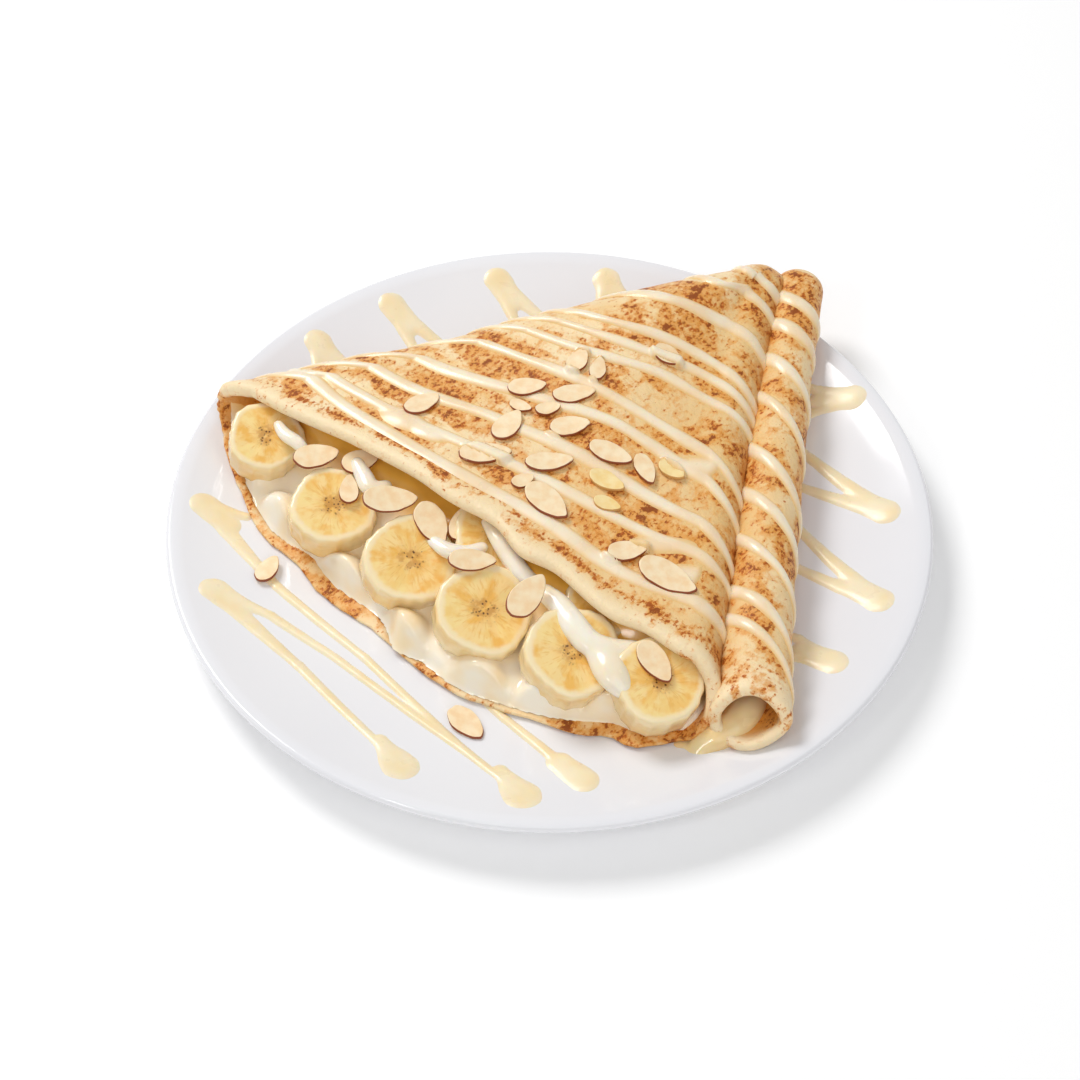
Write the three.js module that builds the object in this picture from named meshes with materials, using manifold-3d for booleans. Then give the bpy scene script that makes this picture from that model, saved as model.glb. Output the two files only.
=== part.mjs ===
// Banana crepe with condensed milk, folded to a wedge and served on its plate.
// Millimetres, +Z up. The origin is the middle of the plate's foot, on the table.
// The open front of the wedge faces -X and -Y, and its closed tip points to +X and +Y.
import * as THREE from 'three';
import { mergeVertices } from 'three/addons/utils/BufferGeometryUtils.js';
import Module from 'manifold-3d';

const wasm = await Module();
wasm.setup();

// Driving dimensions
const GAP = 0.35;               // air between pieces that touch
const RIM_RADIUS = 130;         // plate, 26 cm across
const RIM_HEIGHT = 17;
const LIP = 3.5;                // thickness of the plate's rim
const WELL_RADIUS = 78;         // the plate's flat middle
const WELL_HEIGHT = 7;
const FOOT_RADIUS = 62;
const FOOT_HOLLOW = 2.5;        // the plate's underside inside its foot, above the table
const SHEET = 3;                // thickness of the crepe
const TIP = new THREE.Vector2(86, 109);   // where the fold lines meet, seen from above
const LEFT_FOLD = THREE.MathUtils.degToRad(197.7);
const RIGHT_FOLD = THREE.MathUtils.degToRad(261.2);
const SPREAD = RIGHT_FOLD - LEFT_FOLD;
const REACH = 210;              // tip to mouth, for the change of height along the folds
const TIP_START = 4;            // the wedge's closed end, from the tip
const TIP_ROUND = 20;           // where that end has its full thickness
const TIP_TOP = 35.5;           // heights of the fold lines' tops above the table
const RIGHT_TOP = 33;
// Height of the left fold's top at these distances from the tip
const LEFT_TOPS = [
  [0, 35.5], [28, 39.5], [62, 42.5], [90, 41], [118, 37.8], [140, 36.3], [185, 37.3], [210, 35.5],
];
const RIGHT_PULL = 3;           // the right fold curves in by this much
const CROWN = 4.5;              // rise of the top flap between its folds
const FOLD_INSET = 10;          // where the plate is felt under each fold
const SLICE_THICKNESS = 12.5;
const FLAKE_THICKNESS = 1.3;
const RIDGE_WIDTH = 3.6;        // a line of drizzle
const RIDGE_HEIGHT = 0.9;

const LERP = THREE.MathUtils.lerp;
const CLAMP = THREE.MathUtils.clamp;
const UP = new THREE.Vector3(0, 0, 1);

// Materials
function finish(colour, roughness) {
  return new THREE.MeshStandardMaterial({ color: colour, roughness, metalness: 0 });
}
const GLAZE = finish('#f1f1f3', 0.15);
const CREPE = finish('#e6bf82', 0.55);
const CREAM = finish('#efe4bd', 0.2);
const BANANA = finish('#f0d894', 0.35);
const ALMOND = finish('#ecd3ae', 0.6);

// Closed meshes from rings of points, each end shut by a fan round its middle
function loft(rings) {
  const count = rings[0].length;
  const points = rings.flat();
  const faces = [];
  for (let r = 0; r + 1 < rings.length; r += 1) {
    for (let i = 0; i < count; i += 1) {
      const j = (i + 1) % count;
      const here = r * count;
      const next = here + count;
      faces.push([here + i, here + j, next + j], [here + i, next + j, next + i]);
    }
  }
  const ends = [[0, 1], [(rings.length - 1) * count, -1]];
  for (const [start, side] of ends) {
    const middle = new THREE.Vector3();
    for (let i = 0; i < count; i += 1) {
      middle.addScaledVector(points[start + i], 1 / count);
    }
    points.push(middle);
    for (let i = 0; i < count; i += 1) {
      const j = (i + 1) % count;
      const pair = side > 0 ? [start + j, start + i] : [start + i, start + j];
      faces.push([...pair, points.length - 1]);
    }
  }
  return facesOut(points, faces);
}

function facesOut(points, faces) {
  let volume = 0;
  const normal = new THREE.Vector3();
  for (const [a, b, c] of faces) {
    volume += points[a].dot(normal.crossVectors(points[b], points[c]));
  }
  const turned = volume < 0 ? faces.map(([a, b, c]) => [a, c, b]) : faces;
  const geometry = new THREE.BufferGeometry().setFromPoints(points);
  geometry.setIndex(turned.flat());
  return geometry;
}

// Joining and cutting
function solid(geometry) {
  const bare = geometry.clone();
  bare.deleteAttribute('normal');
  bare.deleteAttribute('uv');
  const merged = mergeVertices(bare, 1e-4);
  return new wasm.Manifold(new wasm.Mesh({
    numProp: 3,
    vertProperties: new Float32Array(merged.attributes.position.array),
    triVerts: new Uint32Array(merged.index.array),
  }));
}

function largestPiece(body) {
  const pieces = body.decompose();
  return pieces.reduce((best, piece) => (piece.volume() > best.volume() ? piece : best));
}

function cutBy(body, cutters) {
  return cutters.reduce((left, cutter) => left.subtract(cutter), body);
}

function joinAll(bodies) {
  return bodies.reduce((whole, body) => whole.add(body));
}

function node(name, body, material) {
  const { vertProperties, triVerts } = largestPiece(body).getMesh();
  const geometry = new THREE.BufferGeometry();
  geometry.setAttribute('position', new THREE.BufferAttribute(vertProperties, 3));
  geometry.setIndex(new THREE.BufferAttribute(triVerts, 1));
  const mesh = new THREE.Mesh(geometry, material);
  mesh.name = name;
  return mesh;
}

// Plate
function plateTop(x, y) {
  const climb = (Math.hypot(x, y) - WELL_RADIUS) / (RIM_RADIUS - LIP / 2 - WELL_RADIUS);
  return WELL_HEIGHT + (RIM_HEIGHT - WELL_HEIGHT) * CLAMP(climb, 0, 1) ** 2;
}

function plateBlank(raise = 0) {
  const segments = 40;
  const profile = [new THREE.Vector2(0, FOOT_HOLLOW), new THREE.Vector2(FOOT_RADIUS - 5, FOOT_HOLLOW)];
  profile.push(new THREE.Vector2(FOOT_RADIUS - 3, 0), new THREE.Vector2(FOOT_RADIUS, 0));
  profile.push(new THREE.Vector2(FOOT_RADIUS + 2.5, 3));
  for (const radius of [95, 112]) {
    profile.push(new THREE.Vector2(radius, plateTop(radius, 0) - LIP));
  }
  const half = LIP / 2;
  for (const angle of [-45, 0, 45, 90]) {
    const turn = THREE.MathUtils.degToRad(angle);
    const across = RIM_RADIUS - half + half * Math.cos(turn);
    profile.push(new THREE.Vector2(across, RIM_HEIGHT - half + half * Math.sin(turn)));
  }
  for (const radius of [120, 107, 93, WELL_RADIUS]) {
    profile.push(new THREE.Vector2(radius, plateTop(radius, 0)));
  }
  profile.push(new THREE.Vector2(0, WELL_HEIGHT));
  const geometry = new THREE.LatheGeometry(profile, segments);
  geometry.rotateX(Math.PI / 2);
  geometry.translate(0, 0, raise);
  return solid(geometry);
}

// Drizzle: a low rounded ridge along points with their own up direction and width
function ridge(stations) {
  const rings = stations.map(({ at, up, width, height }, i) => {
    const before = stations[Math.max(i - 1, 0)].at;
    const after = stations[Math.min(i + 1, stations.length - 1)].at;
    const side = new THREE.Vector3().subVectors(after, before).cross(up).normalize();
    const outline = [[-0.5, -0.5], [0.5, -0.5], [0.28, 1], [-0.28, 1]];
    return outline.map(([across, high]) => at.clone()
      .addScaledVector(side, across * width)
      .addScaledVector(up, high * height));
  });
  return solid(loft(rings));
}

// Each tongue of drizzle on the plate turns at its head and runs on along its legs,
// most of them back to the crepe. A leg lists the places that it passes after the head.
const TONGUES = [
  { head: [-85, 83], legs: [[[-83, 68]], [[-70, 72]]] },
  { head: [-59, 103], legs: [[[-48, 82]], [[-36, 85]]] },
  { head: [-20, 117], legs: [[[-10, 94]], [[1, 96]]] },
  { head: [21, 117], legs: [[[18, 103]], [[30, 106]]] },
  { head: [104, 57], legs: [[[92, 68]], [[90, 48]]] },
  { head: [115, 2], legs: [[[86, 38]], [[84, 20]]] },
  { head: [109, -37], legs: [[[82, 4]], [[80, -16]]] },
  { head: [91, -61], legs: [[[78, -38]]] },
  { head: [-118, 3], legs: [[[-104, 1]], [[-91, -29], [-60, -58], [-25, -97], [-8, -114]]] },
  { head: [-111, -34], legs: [[[-81, -63], [-46, -103]], [[-92, -42], [-70, -58], [-26, -96]]] },
  { head: [11, -108], legs: [[[-3, -93], [-14, -82]]] },
];
const HEAD_LENGTH = 9;
const DRIPS = [[-46, -103], [-8, -114]];    // thick ends of the long legs

function plateLine(points) {
  const path = new THREE.CatmullRomCurve3(points.map(([x, y]) => new THREE.Vector3(x, y, 0)));
  const steps = Math.max(2, Math.round(path.getLength() / 18));
  const stations = path.getSpacedPoints(steps).map((at, i) => {
    const taper = 1.3 - 0.4 * Math.min(1, (2 * i) / steps);
    at.z = plateTop(at.x, at.y);
    return { at, up: UP, width: RIDGE_WIDTH * taper, height: RIDGE_HEIGHT * taper };
  });
  return ridge(stations);
}

function plateDrop([x, y], length) {
  const drop = new THREE.SphereGeometry(1, 7, 4);
  drop.rotateX(Math.PI / 2);
  drop.scale(length / 2, length / 2.4, 1.8);
  drop.rotateZ(Math.atan2(y, x));
  drop.translate(x, y, plateTop(x, y));
  return solid(drop);
}

// Crepe wedge. A section at a distance from the tip goes round its four sides:
// 0 to 1 along the bottom, 1 to 2 up the right fold, 2 to 3 back over the top, 3 to 4 down the left
function smooth(x) {
  const part = CLAMP(x, 0, 1);
  return part * part * (3 - 2 * part);
}

// The value at a place, from [place, value] points in rising order
function between(points, where) {
  const next = points.findIndex(([place]) => place >= where);
  if (next === -1) return points[points.length - 1][1];
  if (next === 0) return points[0][1];
  const [start, low] = points[next - 1];
  const [end, high] = points[next];
  return LERP(low, high, (where - start) / (end - start));
}

function onPlan(along, distance) {
  const turn = LEFT_FOLD + along / distance;
  return [TIP.x + distance * Math.cos(turn), TIP.y + distance * Math.sin(turn)];
}

function wedgePoint(round, distance, inset = 0) {
  const part = ((round % 4) + 4) % 4;
  const side = Math.floor(part);
  const step = part - side;
  const arc = SPREAD * distance - RIGHT_PULL * smooth((distance - 20) / 80);
  const shut = CLAMP((TIP_ROUND - distance) / (TIP_ROUND - TIP_START), 0, 1);
  const full = Math.sqrt(Math.max(1 - shut * shut, 1e-4));
  const reach = CLAMP(distance / REACH, 0, 1);
  const leftTop = between(LEFT_TOPS, distance);
  const rightTop = LERP(TIP_TOP, RIGHT_TOP, reach);
  const left = (leftTop - plateTop(...onPlan(FOLD_INSET, distance)) - GAP) / 2;
  const underRight = onPlan(Math.max(arc - FOLD_INSET, 0), distance);
  const right = (rightTop - plateTop(...underRight) - GAP) / 2;
  const room = Math.min(1, arc / (left + right));
  const leftMiddle = left * room;
  const rightMiddle = arc - right * room;
  const turn = side === 1 ? Math.PI * (step - 0.5) : Math.PI * (step + 0.5);
  let along = side === 0 ? LERP(leftMiddle, rightMiddle, step) : LERP(rightMiddle, leftMiddle, step);
  let level = side === 0 ? -1 : 1;
  if (side === 1) along = rightMiddle + (right * full - inset) * Math.cos(turn);
  if (side === 3) along = leftMiddle + (left * full - inset) * Math.cos(turn);
  if (side % 2 === 1) level = Math.sin(turn);
  const across = CLAMP((along - leftMiddle) / Math.max(rightMiddle - leftMiddle, 1e-6), 0, 1);
  const crown = CROWN * smooth((distance - TIP_ROUND) / (REACH - 60)) * Math.sin(Math.PI * across);
  const top = LERP(leftTop, rightTop, smooth(across)) + crown;
  const [x, y] = onPlan(along, distance);
  const bottom = plateTop(x, y) + GAP;
  const z = (top + bottom) / 2 + level * (((top - bottom) / 2) * full - inset);
  return new THREE.Vector3(x, y, z);
}

// The wedge's mouth: distance from the tip along the flap's edge, from the left fold to the
// right one, and along the bottom layer's edge, which reaches further
const FLAP_EDGE = [
  [0, 200.5], [0.1, 188.5], [0.2, 179.5], [0.32, 173], [0.45, 170], [0.56, 168], [0.65, 173],
  [0.73, 173], [0.86, 181], [0.93, 182.5], [1, 187],
];
const BOTTOM_EDGE = [
  [0, 213.5], [0.07, 215.5], [0.2, 217], [0.29, 213.2], [0.36, 214], [0.46, 212], [0.62, 215],
  [0.75, 213.5], [0.85, 211.5], [0.9, 209.5], [0.94, 211], [1, 206],
];

function mouth(round) {
  const side = Math.floor(round) % 4;
  const step = round - Math.floor(round);
  if (side === 0) return between(BOTTOM_EDGE, step);
  if (side === 1) return LERP(between(BOTTOM_EDGE, 1), between(FLAP_EDGE, 1), smooth(step));
  if (side === 2) return between(FLAP_EDGE, 1 - step);
  return LERP(between(FLAP_EDGE, 0), between(BOTTOM_EDGE, 0), smooth(step) ** 0.3);
}

const SIDE_STEPS = [6, 4, 8, 4];
const ROUND = SIDE_STEPS.flatMap((steps, side) => (
  Array.from({ length: steps }, (unused, i) => side + i / steps)));

function wedgeRing(distanceAt, inset) {
  return ROUND.map((round) => wedgePoint(round, distanceAt(round), inset));
}

function wedgeRings(from, steps, inset, short = 0) {
  const rings = [];
  for (let i = 0; i <= steps; i += 1) {
    const part = i / steps;
    rings.push(wedgeRing((round) => LERP(from, mouth(round) - short, part), inset));
  }
  return rings;
}

function wedgeOutside(inset) {
  const tip = [TIP_START + 0.5, 7, 12].map((distance) => wedgeRing(() => distance, inset));
  return [...tip, ...wedgeRings(TIP_ROUND, 8, inset)];
}

const POCKET_START = 85;        // where the wedge opens inside, from the tip
const POCKET_STEPS = 6;

function wedgeShell(grow = 0) {
  const lip = wedgeRing((round) => mouth(round) + 0.9 + grow, SHEET / 2);
  const inside = wedgeRings(POCKET_START - grow, POCKET_STEPS, SHEET + grow).reverse();
  return solid(loft([...wedgeOutside(-grow), lip, ...inside]));
}

function wedgeBody(inset) {
  return solid(loft(wedgeOutside(inset)));
}

// Second pocket, a lower roll of the same crepe along the wedge's right fold
const ROLL_TIP = new THREE.Vector2(92.2, 109.5);
const ROLL_MOUTH = new THREE.Vector2(62.8, -91);
const ROLL_BOW = 1.7;           // its middle bends in towards the wedge
const ROLL_LENGTH = ROLL_TIP.distanceTo(ROLL_MOUTH);
const ROLL_WIDTHS = [18.5, 24.5];
const ROLL_TOPS = [31, 29];
const ROLL_ROUND = 0.05;        // share of the length that rounds its closed end
const ROLL_OUTSIDE = [0.002, 0.015, 0.05, 0.09, 0.135, 0.22, 0.37, 0.53, 0.69, 0.84, 0.995];
const ROLL_LIP = 5;             // its lower lip reaches further than the upper one

function rollPoint(turn, part, inset = 0) {
  const ahead = ROLL_MOUTH.clone().sub(ROLL_TIP).normalize();
  const shut = CLAMP((ROLL_ROUND - part) / ROLL_ROUND, 0, 1);
  const full = Math.sqrt(Math.max(1 - shut * shut, 1e-3));
  const out = ROLL_LENGTH * part - ROLL_LIP * Math.sin(turn) * smooth((part - 0.6) / 0.4);
  const bow = ROLL_BOW * Math.sin(Math.PI * CLAMP(part, 0, 1));
  const across = (LERP(...ROLL_WIDTHS, part) / 2 - inset) * full * Math.cos(turn) - bow;
  const x = ROLL_TIP.x + ahead.x * out - ahead.y * across;
  const y = ROLL_TIP.y + ahead.y * out + ahead.x * across;
  const bottom = plateTop(x, y) + GAP;
  const top = LERP(...ROLL_TOPS, part);
  const z = (top + bottom) / 2 + ((top - bottom) / 2 - inset) * full * Math.sin(turn);
  return new THREE.Vector3(x, y, z);
}

function rollRing(part, inset) {
  const sides = 14;
  return Array.from({ length: sides }, (unused, i) => (
    rollPoint((2 * Math.PI * i) / sides, part, inset)));
}

function rollShell(grow = 0) {
  const inside = [0.995, 0.7, 0.4];
  const rings = ROLL_OUTSIDE.map((part) => rollRing(part, -grow));
  rings.push(rollRing(1 + grow / ROLL_LENGTH, SHEET / 2));
  rings.push(...inside.map((part) => rollRing(part, SHEET + grow)));
  return solid(loft(rings));
}

function rollBody(inset) {
  return solid(loft(ROLL_OUTSIDE.map((part) => rollRing(part, inset))));
}

// Drizzle across the crepe: near-straight lines at these distances from the tip
const LINES = [30, 46, 63, 71, 80, 99, 112, 130, 145, 161];
const LINE_FOOT = 0.68;         // across the flap, where a line comes nearest to the tip
const LINE_STEPS = 9;

function lineDistance(nearest, round) {
  const across = 3 - round;
  const bend = Math.cos((across - LINE_FOOT) * SPREAD) ** 0.85;
  return nearest / bend + 1.1 * Math.sin(5 * across + nearest);
}

function wedgeNormal(round, distance) {
  const small = 0.01;
  const at = wedgePoint(round, distance);
  const along = wedgePoint(round, distance + 1).sub(at);
  const around = wedgePoint(round + small, distance).sub(at);
  return around.cross(along).normalize();
}

function topLine(nearest) {
  const stations = [];
  for (let i = 0; i <= LINE_STEPS; i += 1) {
    const round = LERP(3.4, 1.62, i / LINE_STEPS);
    const distance = lineDistance(nearest, CLAMP(round, 2, 3));
    const at = wedgePoint(round, distance);
    const width = RIDGE_WIDTH * (1 + 0.2 * Math.sin(2.3 * i + nearest));
    stations.push({ at, up: wedgeNormal(round, distance), width, height: RIDGE_HEIGHT });
  }
  return ridge(stations);
}

// Bands of drizzle over the second pocket, at these shares of its length
const BANDS = [0.05, 0.15, 0.25, 0.38, 0.48, 0.58, 0.69, 0.79];
const BAND_SLANT = 0.1;
const BAND_STEPS = 4;

function rollBand(start) {
  const stations = [];
  for (let i = 0; i <= BAND_STEPS; i += 1) {
    const turn = LERP(Math.PI * 0.62, -Math.PI * 0.1, i / BAND_STEPS);
    const part = start + (BAND_SLANT * i) / BAND_STEPS;
    const at = rollPoint(turn, part);
    const axis = rollPoint(turn + Math.PI, part);
    const up = at.clone().sub(axis).normalize();
    stations.push({ at, up, width: RIDGE_WIDTH * 1.3, height: RIDGE_HEIGHT });
  }
  return ridge(stations);
}

// Banana slices: across is the share of the spread, out is the distance from the tip
const SLICES = [
  { across: 0.112, out: 203, radius: 13.3, high: 22.4, lean: 19 },
  { across: 0.29, out: 197, radius: 14.8, high: 20.9, lean: 14 },
  { across: 0.453, out: 192, radius: 15.8, high: 21.4, lean: 20 },
  { across: 0.605, out: 193, radius: 16, high: 21.4, lean: 21 },
  { across: 0.76, out: 194, radius: 15.8, high: 21.4, lean: 20 },
  { across: 0.895, out: 195, radius: 15, high: 20.6, lean: 18 },
  { across: 0.53, out: 167, radius: 14.5, high: 22.8, lean: 14 },
  { across: 0.77, out: 170, radius: 14.5, high: 21.8, lean: 14 },
];
const LEAN_TO = THREE.MathUtils.degToRad(-60);  // the slices' faces lean this way, seen from above

function sliceFrame({ across, out, high, lean }) {
  const turn = LEFT_FOLD + across * SPREAD;
  const middle = new THREE.Vector3(TIP.x + out * Math.cos(turn), TIP.y + out * Math.sin(turn), high);
  const tilt = THREE.MathUtils.degToRad(lean);
  const flat = Math.sin(tilt);
  const face = new THREE.Vector3(flat * Math.cos(LEAN_TO), flat * Math.sin(LEAN_TO), Math.cos(tilt));
  const right = new THREE.Vector3(0, 1, 0).cross(face).normalize();
  const back = new THREE.Vector3().crossVectors(face, right);
  return { middle, face, right, back };
}

function sliceSolid(slice, number, grow = 0) {
  const { middle, face, right, back } = sliceFrame(slice);
  const half = SLICE_THICKNESS / 2 + grow;
  const edge = 1.2;
  const sides = 16;
  const levels = [[-half, -edge], [-half + edge, 0], [half - edge, 0], [half, -edge]];
  const rings = levels.map(([level, trim]) => Array.from({ length: sides }, (unused, i) => {
    const turn = (2 * Math.PI * i) / sides;
    const lobes = 1 + 0.03 * Math.cos(3 * turn + number) + 0.02 * Math.cos(5 * turn + 2 * number);
    const radius = slice.radius * lobes + grow + trim;
    return middle.clone()
      .addScaledVector(right, radius * Math.cos(turn))
      .addScaledVector(back, radius * Math.sin(turn))
      .addScaledVector(face, level);
  }));
  return solid(loft(rings));
}

// Almond flakes: a thin oval with one pointed end, on a seat with its own directions
function flakeSolid({ at, up, turn, length, share }, grow = 0) {
  const ahead = new THREE.Vector3(Math.cos(turn), Math.sin(turn), 0);
  const side = new THREE.Vector3().crossVectors(up, ahead).normalize();
  ahead.crossVectors(side, up);
  const half = FLAKE_THICKNESS / 2 + grow;
  const sides = 10;
  const levels = [[-half, 0.94], [half, 1]];
  const rings = levels.map(([level, size]) => Array.from({ length: sides }, (unused, i) => {
    const angle = (2 * Math.PI * i) / sides;
    const point = 1 - 0.22 * Math.cos(angle);
    const along = (length / 2 * size + grow) * Math.cos(angle);
    const across = (length * share * size * point + grow) * Math.sin(angle);
    return at.clone()
      .addScaledVector(ahead, along)
      .addScaledVector(side, across)
      .addScaledVector(up, level);
  }));
  return solid(loft(rings));
}

const SEAT = GAP + FLAKE_THICKNESS / 2;

// Flakes on the flap: share across it, distance from the tip, length, turn and half width
// as a share of the length
const FLAP_FLAKES = [
  [0.18, 153.6, 14, 36, 0.27], [0.378, 136.8, 15, 59, 0.28], [0.282, 99.2, 10.5, 62, 0.32],
  [0.378, 96.8, 10, 79, 0.27], [0.564, 74.4, 11, -34, 0.33], [0.282, 120, 13.5, 5, 0.28],
  [0.414, 110.4, 15, 10, 0.24], [0.342, 127.5, 8.5, -30, 0.26], [0.51, 122.4, 14, 13, 0.29],
  [0.678, 123.2, 16, -27, 0.25], [0.414, 151.2, 18, 7, 0.25], [0.552, 139.2, 16.5, 10, 0.24],
  [0.624, 153.6, 19, -51, 0.26], [0.8, 122.8, 13.5, -72, 0.23], [0.718, 134.2, 13.5, -35, 0.26],
  [0.88, 118.5, 10.5, -44, 0.3], [0.752, 143, 9.5, -22, 0.28], [0.846, 157.6, 14, 18, 0.27],
  [0.948, 162.4, 21, -32, 0.25], [0.406, 121.6, 9, 14, 0.29], [0.54, 151.5, 8.5, 30, 0.3],
];

function flapSeat([across, out, length, turn, share]) {
  const round = 3 - across;
  const up = wedgeNormal(round, out);
  const at = wedgePoint(round, out).addScaledVector(up, RIDGE_HEIGHT + SEAT);
  return { at, up, turn: THREE.MathUtils.degToRad(turn), length, share };
}

// Flakes on the slices: slice, offsets to the right and back on its face, length, turn and share
const SLICE_FLAKES = [
  [1, -7.1, 17.5, 16, 17, 0.27], [1, 7.8, 17, 13.5, 25, 0.3], [1, 4.9, 5.4, 11.5, 92, 0.27],
  [2, -8.8, 19.6, 18.5, 5, 0.25], [2, 5.8, 12.5, 17, -62, 0.29], [2, 14.6, 13.6, 12, 78, 0.24],
  [3, -5.6, 15.7, 16, 3, 0.23], [4, -16.3, 16.2, 18, 57, 0.26], [5, -2, 5.2, 16, -55, 0.27],
];

function sliceSeat([number, right, back, length, turn, share]) {
  const frame = sliceFrame(SLICES[number]);
  const at = frame.middle.clone()
    .addScaledVector(frame.right, right)
    .addScaledVector(frame.back, back)
    .addScaledVector(frame.face, SLICE_THICKNESS / 2 + SEAT);
  return { at, up: frame.face, turn: THREE.MathUtils.degToRad(turn), length, share };
}

// Flakes that fell on the plate: place, lift over the drizzle, length, turn and share
const PLATE_FLAKES = [[-94.5, -23, 1.3, 12, 66, 0.28], [-26, -85, 0.6, 15, -48, 0.28]];

function plateSeat([x, y, lift, length, turn, share]) {
  const up = UP.clone();
  const at = new THREE.Vector3(x, y, plateTop(x, y) + lift + SEAT);
  return { at, up, turn: THREE.MathUtils.degToRad(turn), length, share };
}

// Cream: a core that fills the wedge, round drops between the slices and thick strands over them
function creamCore() {
  const inset = SHEET + 1.4;
  const front = (round) => (Math.floor(round) === 2 ? mouth(round) - 5 : mouth(round) - 9);
  const rings = [wedgeRing(() => POCKET_START + inset, inset)];
  for (let i = 1; i < POCKET_STEPS; i += 1) {
    rings.push(wedgeRing((round) => LERP(POCKET_START, mouth(round), i / POCKET_STEPS), inset));
  }
  rings.push(wedgeRing(front, inset));
  return solid(loft(rings));
}

function creamDrop(across, out, width, height) {
  const turn = LEFT_FOLD + across * SPREAD;
  const drop = new THREE.SphereGeometry(1, 8, 4);
  drop.rotateX(Math.PI / 2);
  drop.scale(width * 0.6, width, height);
  drop.rotateZ(turn);
  const floor = WELL_HEIGHT + GAP + SHEET;
  drop.translate(TIP.x + out * Math.cos(turn), TIP.y + out * Math.sin(turn), floor + height * 0.6);
  return solid(drop);
}

const STRAND_STEPS = 5;

function strand(points, width) {
  const path = new THREE.CatmullRomCurve3(points.map((point) => new THREE.Vector3(...point)));
  const stations = path.getSpacedPoints(STRAND_STEPS).map((at, i) => {
    const swell = width * (0.8 + 0.2 * Math.sin((Math.PI * i) / STRAND_STEPS));
    return { at, up: UP, width: swell, height: swell * 0.45 };
  });
  return ridge(stations);
}

// Between two slices lies a drop of cream: share of the spread, distance from the tip,
// half width and half height. Strands run over the slices from under the flap.
const DROPS = [
  [0.13, 205, 7, 5], [0.22, 205, 9, 6], [0.385, 203, 10, 6.5], [0.53, 204, 11, 6.5],
  [0.65, 202, 12, 6], [0.75, 200, 12, 6], [0.84, 197, 10, 6],
];
const STRANDS = [
  { points: [[-20, -20, 33], [-16.5, -27, 33], [-13, -33, 31.5], [-4.5, -43.5, 29.5]], width: 8 },
  { points: [[-1.3, -48.4, 31], [7.4, -60.7, 31], [12.5, -67.5, 30], [28, -69.5, 29]], width: 10.5 },
  { points: [[15, -70, 30.5], [20, -78.5, 29], [23, -82.5, 27.5]], width: 12 },
  { points: [[-93, 24, 32], [-86, 16.5, 31], [-82.5, 12.5, 29.5]], width: 7 },
  { points: [[-65, 7, 31.5], [-59.5, -3.5, 30], [-55, -2, 30]], width: 8 },
  { points: [[-38, -26, 30], [-27, -31, 30], [-22, -29, 30]], width: 8 },
];

// Cream that runs out of the second pocket's mouth to a small pool
const SPILL = [
  [66, -60, 14], [64, -78, 14.5], [60, -87, 15], [55, -91, 14], [50, -93, 11.5], [47.5, -95, 9.5],
];
const SPILL_WIDTH = 12;

// Assembly
const seats = [...FLAP_FLAKES.map(flapSeat), ...SLICE_FLAKES.map(sliceSeat), ...PLATE_FLAKES.map(plateSeat)];
const flakeCuts = seats.map((seat) => flakeSolid(seat, GAP));
const sliceCuts = SLICES.map((slice, number) => sliceSolid(slice, number, GAP));
const FRONT_SLICES = 6;         // those behind them are cut where the front ones and flakes lie on them

function buildSlices() {
  return SLICES.map((slice, number) => {
    const above = sliceCuts.filter((unused, other) => (
      other < FRONT_SLICES && (other > number || number >= FRONT_SLICES)));
    const flakes = number >= FRONT_SLICES ? flakeCuts : [];
    return cutBy(sliceSolid(slice, number), [...above, ...flakes, wedgeShell(GAP)]);
  });
}

function buildCrepe() {
  const roll = joinAll([rollShell(), ...BANDS.map(rollBand)]).subtract(wedgeBody(1));
  return joinAll([wedgeShell(), roll, ...LINES.map((nearest) => topLine(nearest))]);
}

function buildFilling() {
  const drops = DROPS.map((drop) => creamDrop(...drop));
  const strands = STRANDS.map(({ points, width }) => strand(points, width));
  const loose = joinAll([...drops, ...strands]).subtract(wedgeShell(GAP));
  return cutBy(creamCore().add(loose), [...sliceCuts, ...flakeCuts]);
}

function buildSpill() {
  const pool = new THREE.SphereGeometry(1, 10, 5);
  pool.rotateX(Math.PI / 2);
  pool.scale(8.5, 5.5, 2.6);
  pool.translate(48, -95.5, WELL_HEIGHT + 1.4);
  const loose = strand(SPILL, SPILL_WIDTH).add(solid(pool));
  return cutBy(loose, [wedgeBody(-GAP), wedgeShell(GAP), rollShell(GAP), plateBlank(GAP)]);
}

function buildPlate() {
  const lines = TONGUES.flatMap(({ head, legs }) => legs.map((leg) => plateLine([head, ...leg])));
  const heads = TONGUES.map(({ head }) => plateDrop(head, HEAD_LENGTH));
  const drips = DRIPS.map((drip) => plateDrop(drip, 1.4 * HEAD_LENGTH));
  const loose = joinAll([...lines, ...heads, ...drips]);
  const drizzle = cutBy(loose, [wedgeBody(-GAP), wedgeShell(GAP), rollBody(-GAP)]);
  return plateBlank().add(drizzle);
}

const crepe = new THREE.Group();
crepe.add(node('plate', buildPlate(), GLAZE));
crepe.add(node('crepe', buildCrepe(), CREPE));
crepe.add(node('cream_filling', buildFilling(), CREAM));
crepe.add(node('cream_spill', buildSpill(), CREAM));
buildSlices().forEach((slice, i) => crepe.add(node(`banana_slice_${i + 1}`, slice, BANANA)));
seats.forEach((seat, i) => {
  const name = `almond_flake_${String(i + 1).padStart(2, '0')}`;
  crepe.add(node(name, flakeSolid(seat), ALMOND));
});

export default crepe;
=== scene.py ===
"""Banana crepe with condensed milk, folded to a wedge and served on its plate."""
from math import asin, atan, atan2, cos, dist, exp, hypot, log, pi, radians, sin, sqrt, tau

import bmesh
import bpy
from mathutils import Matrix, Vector, noise


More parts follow.
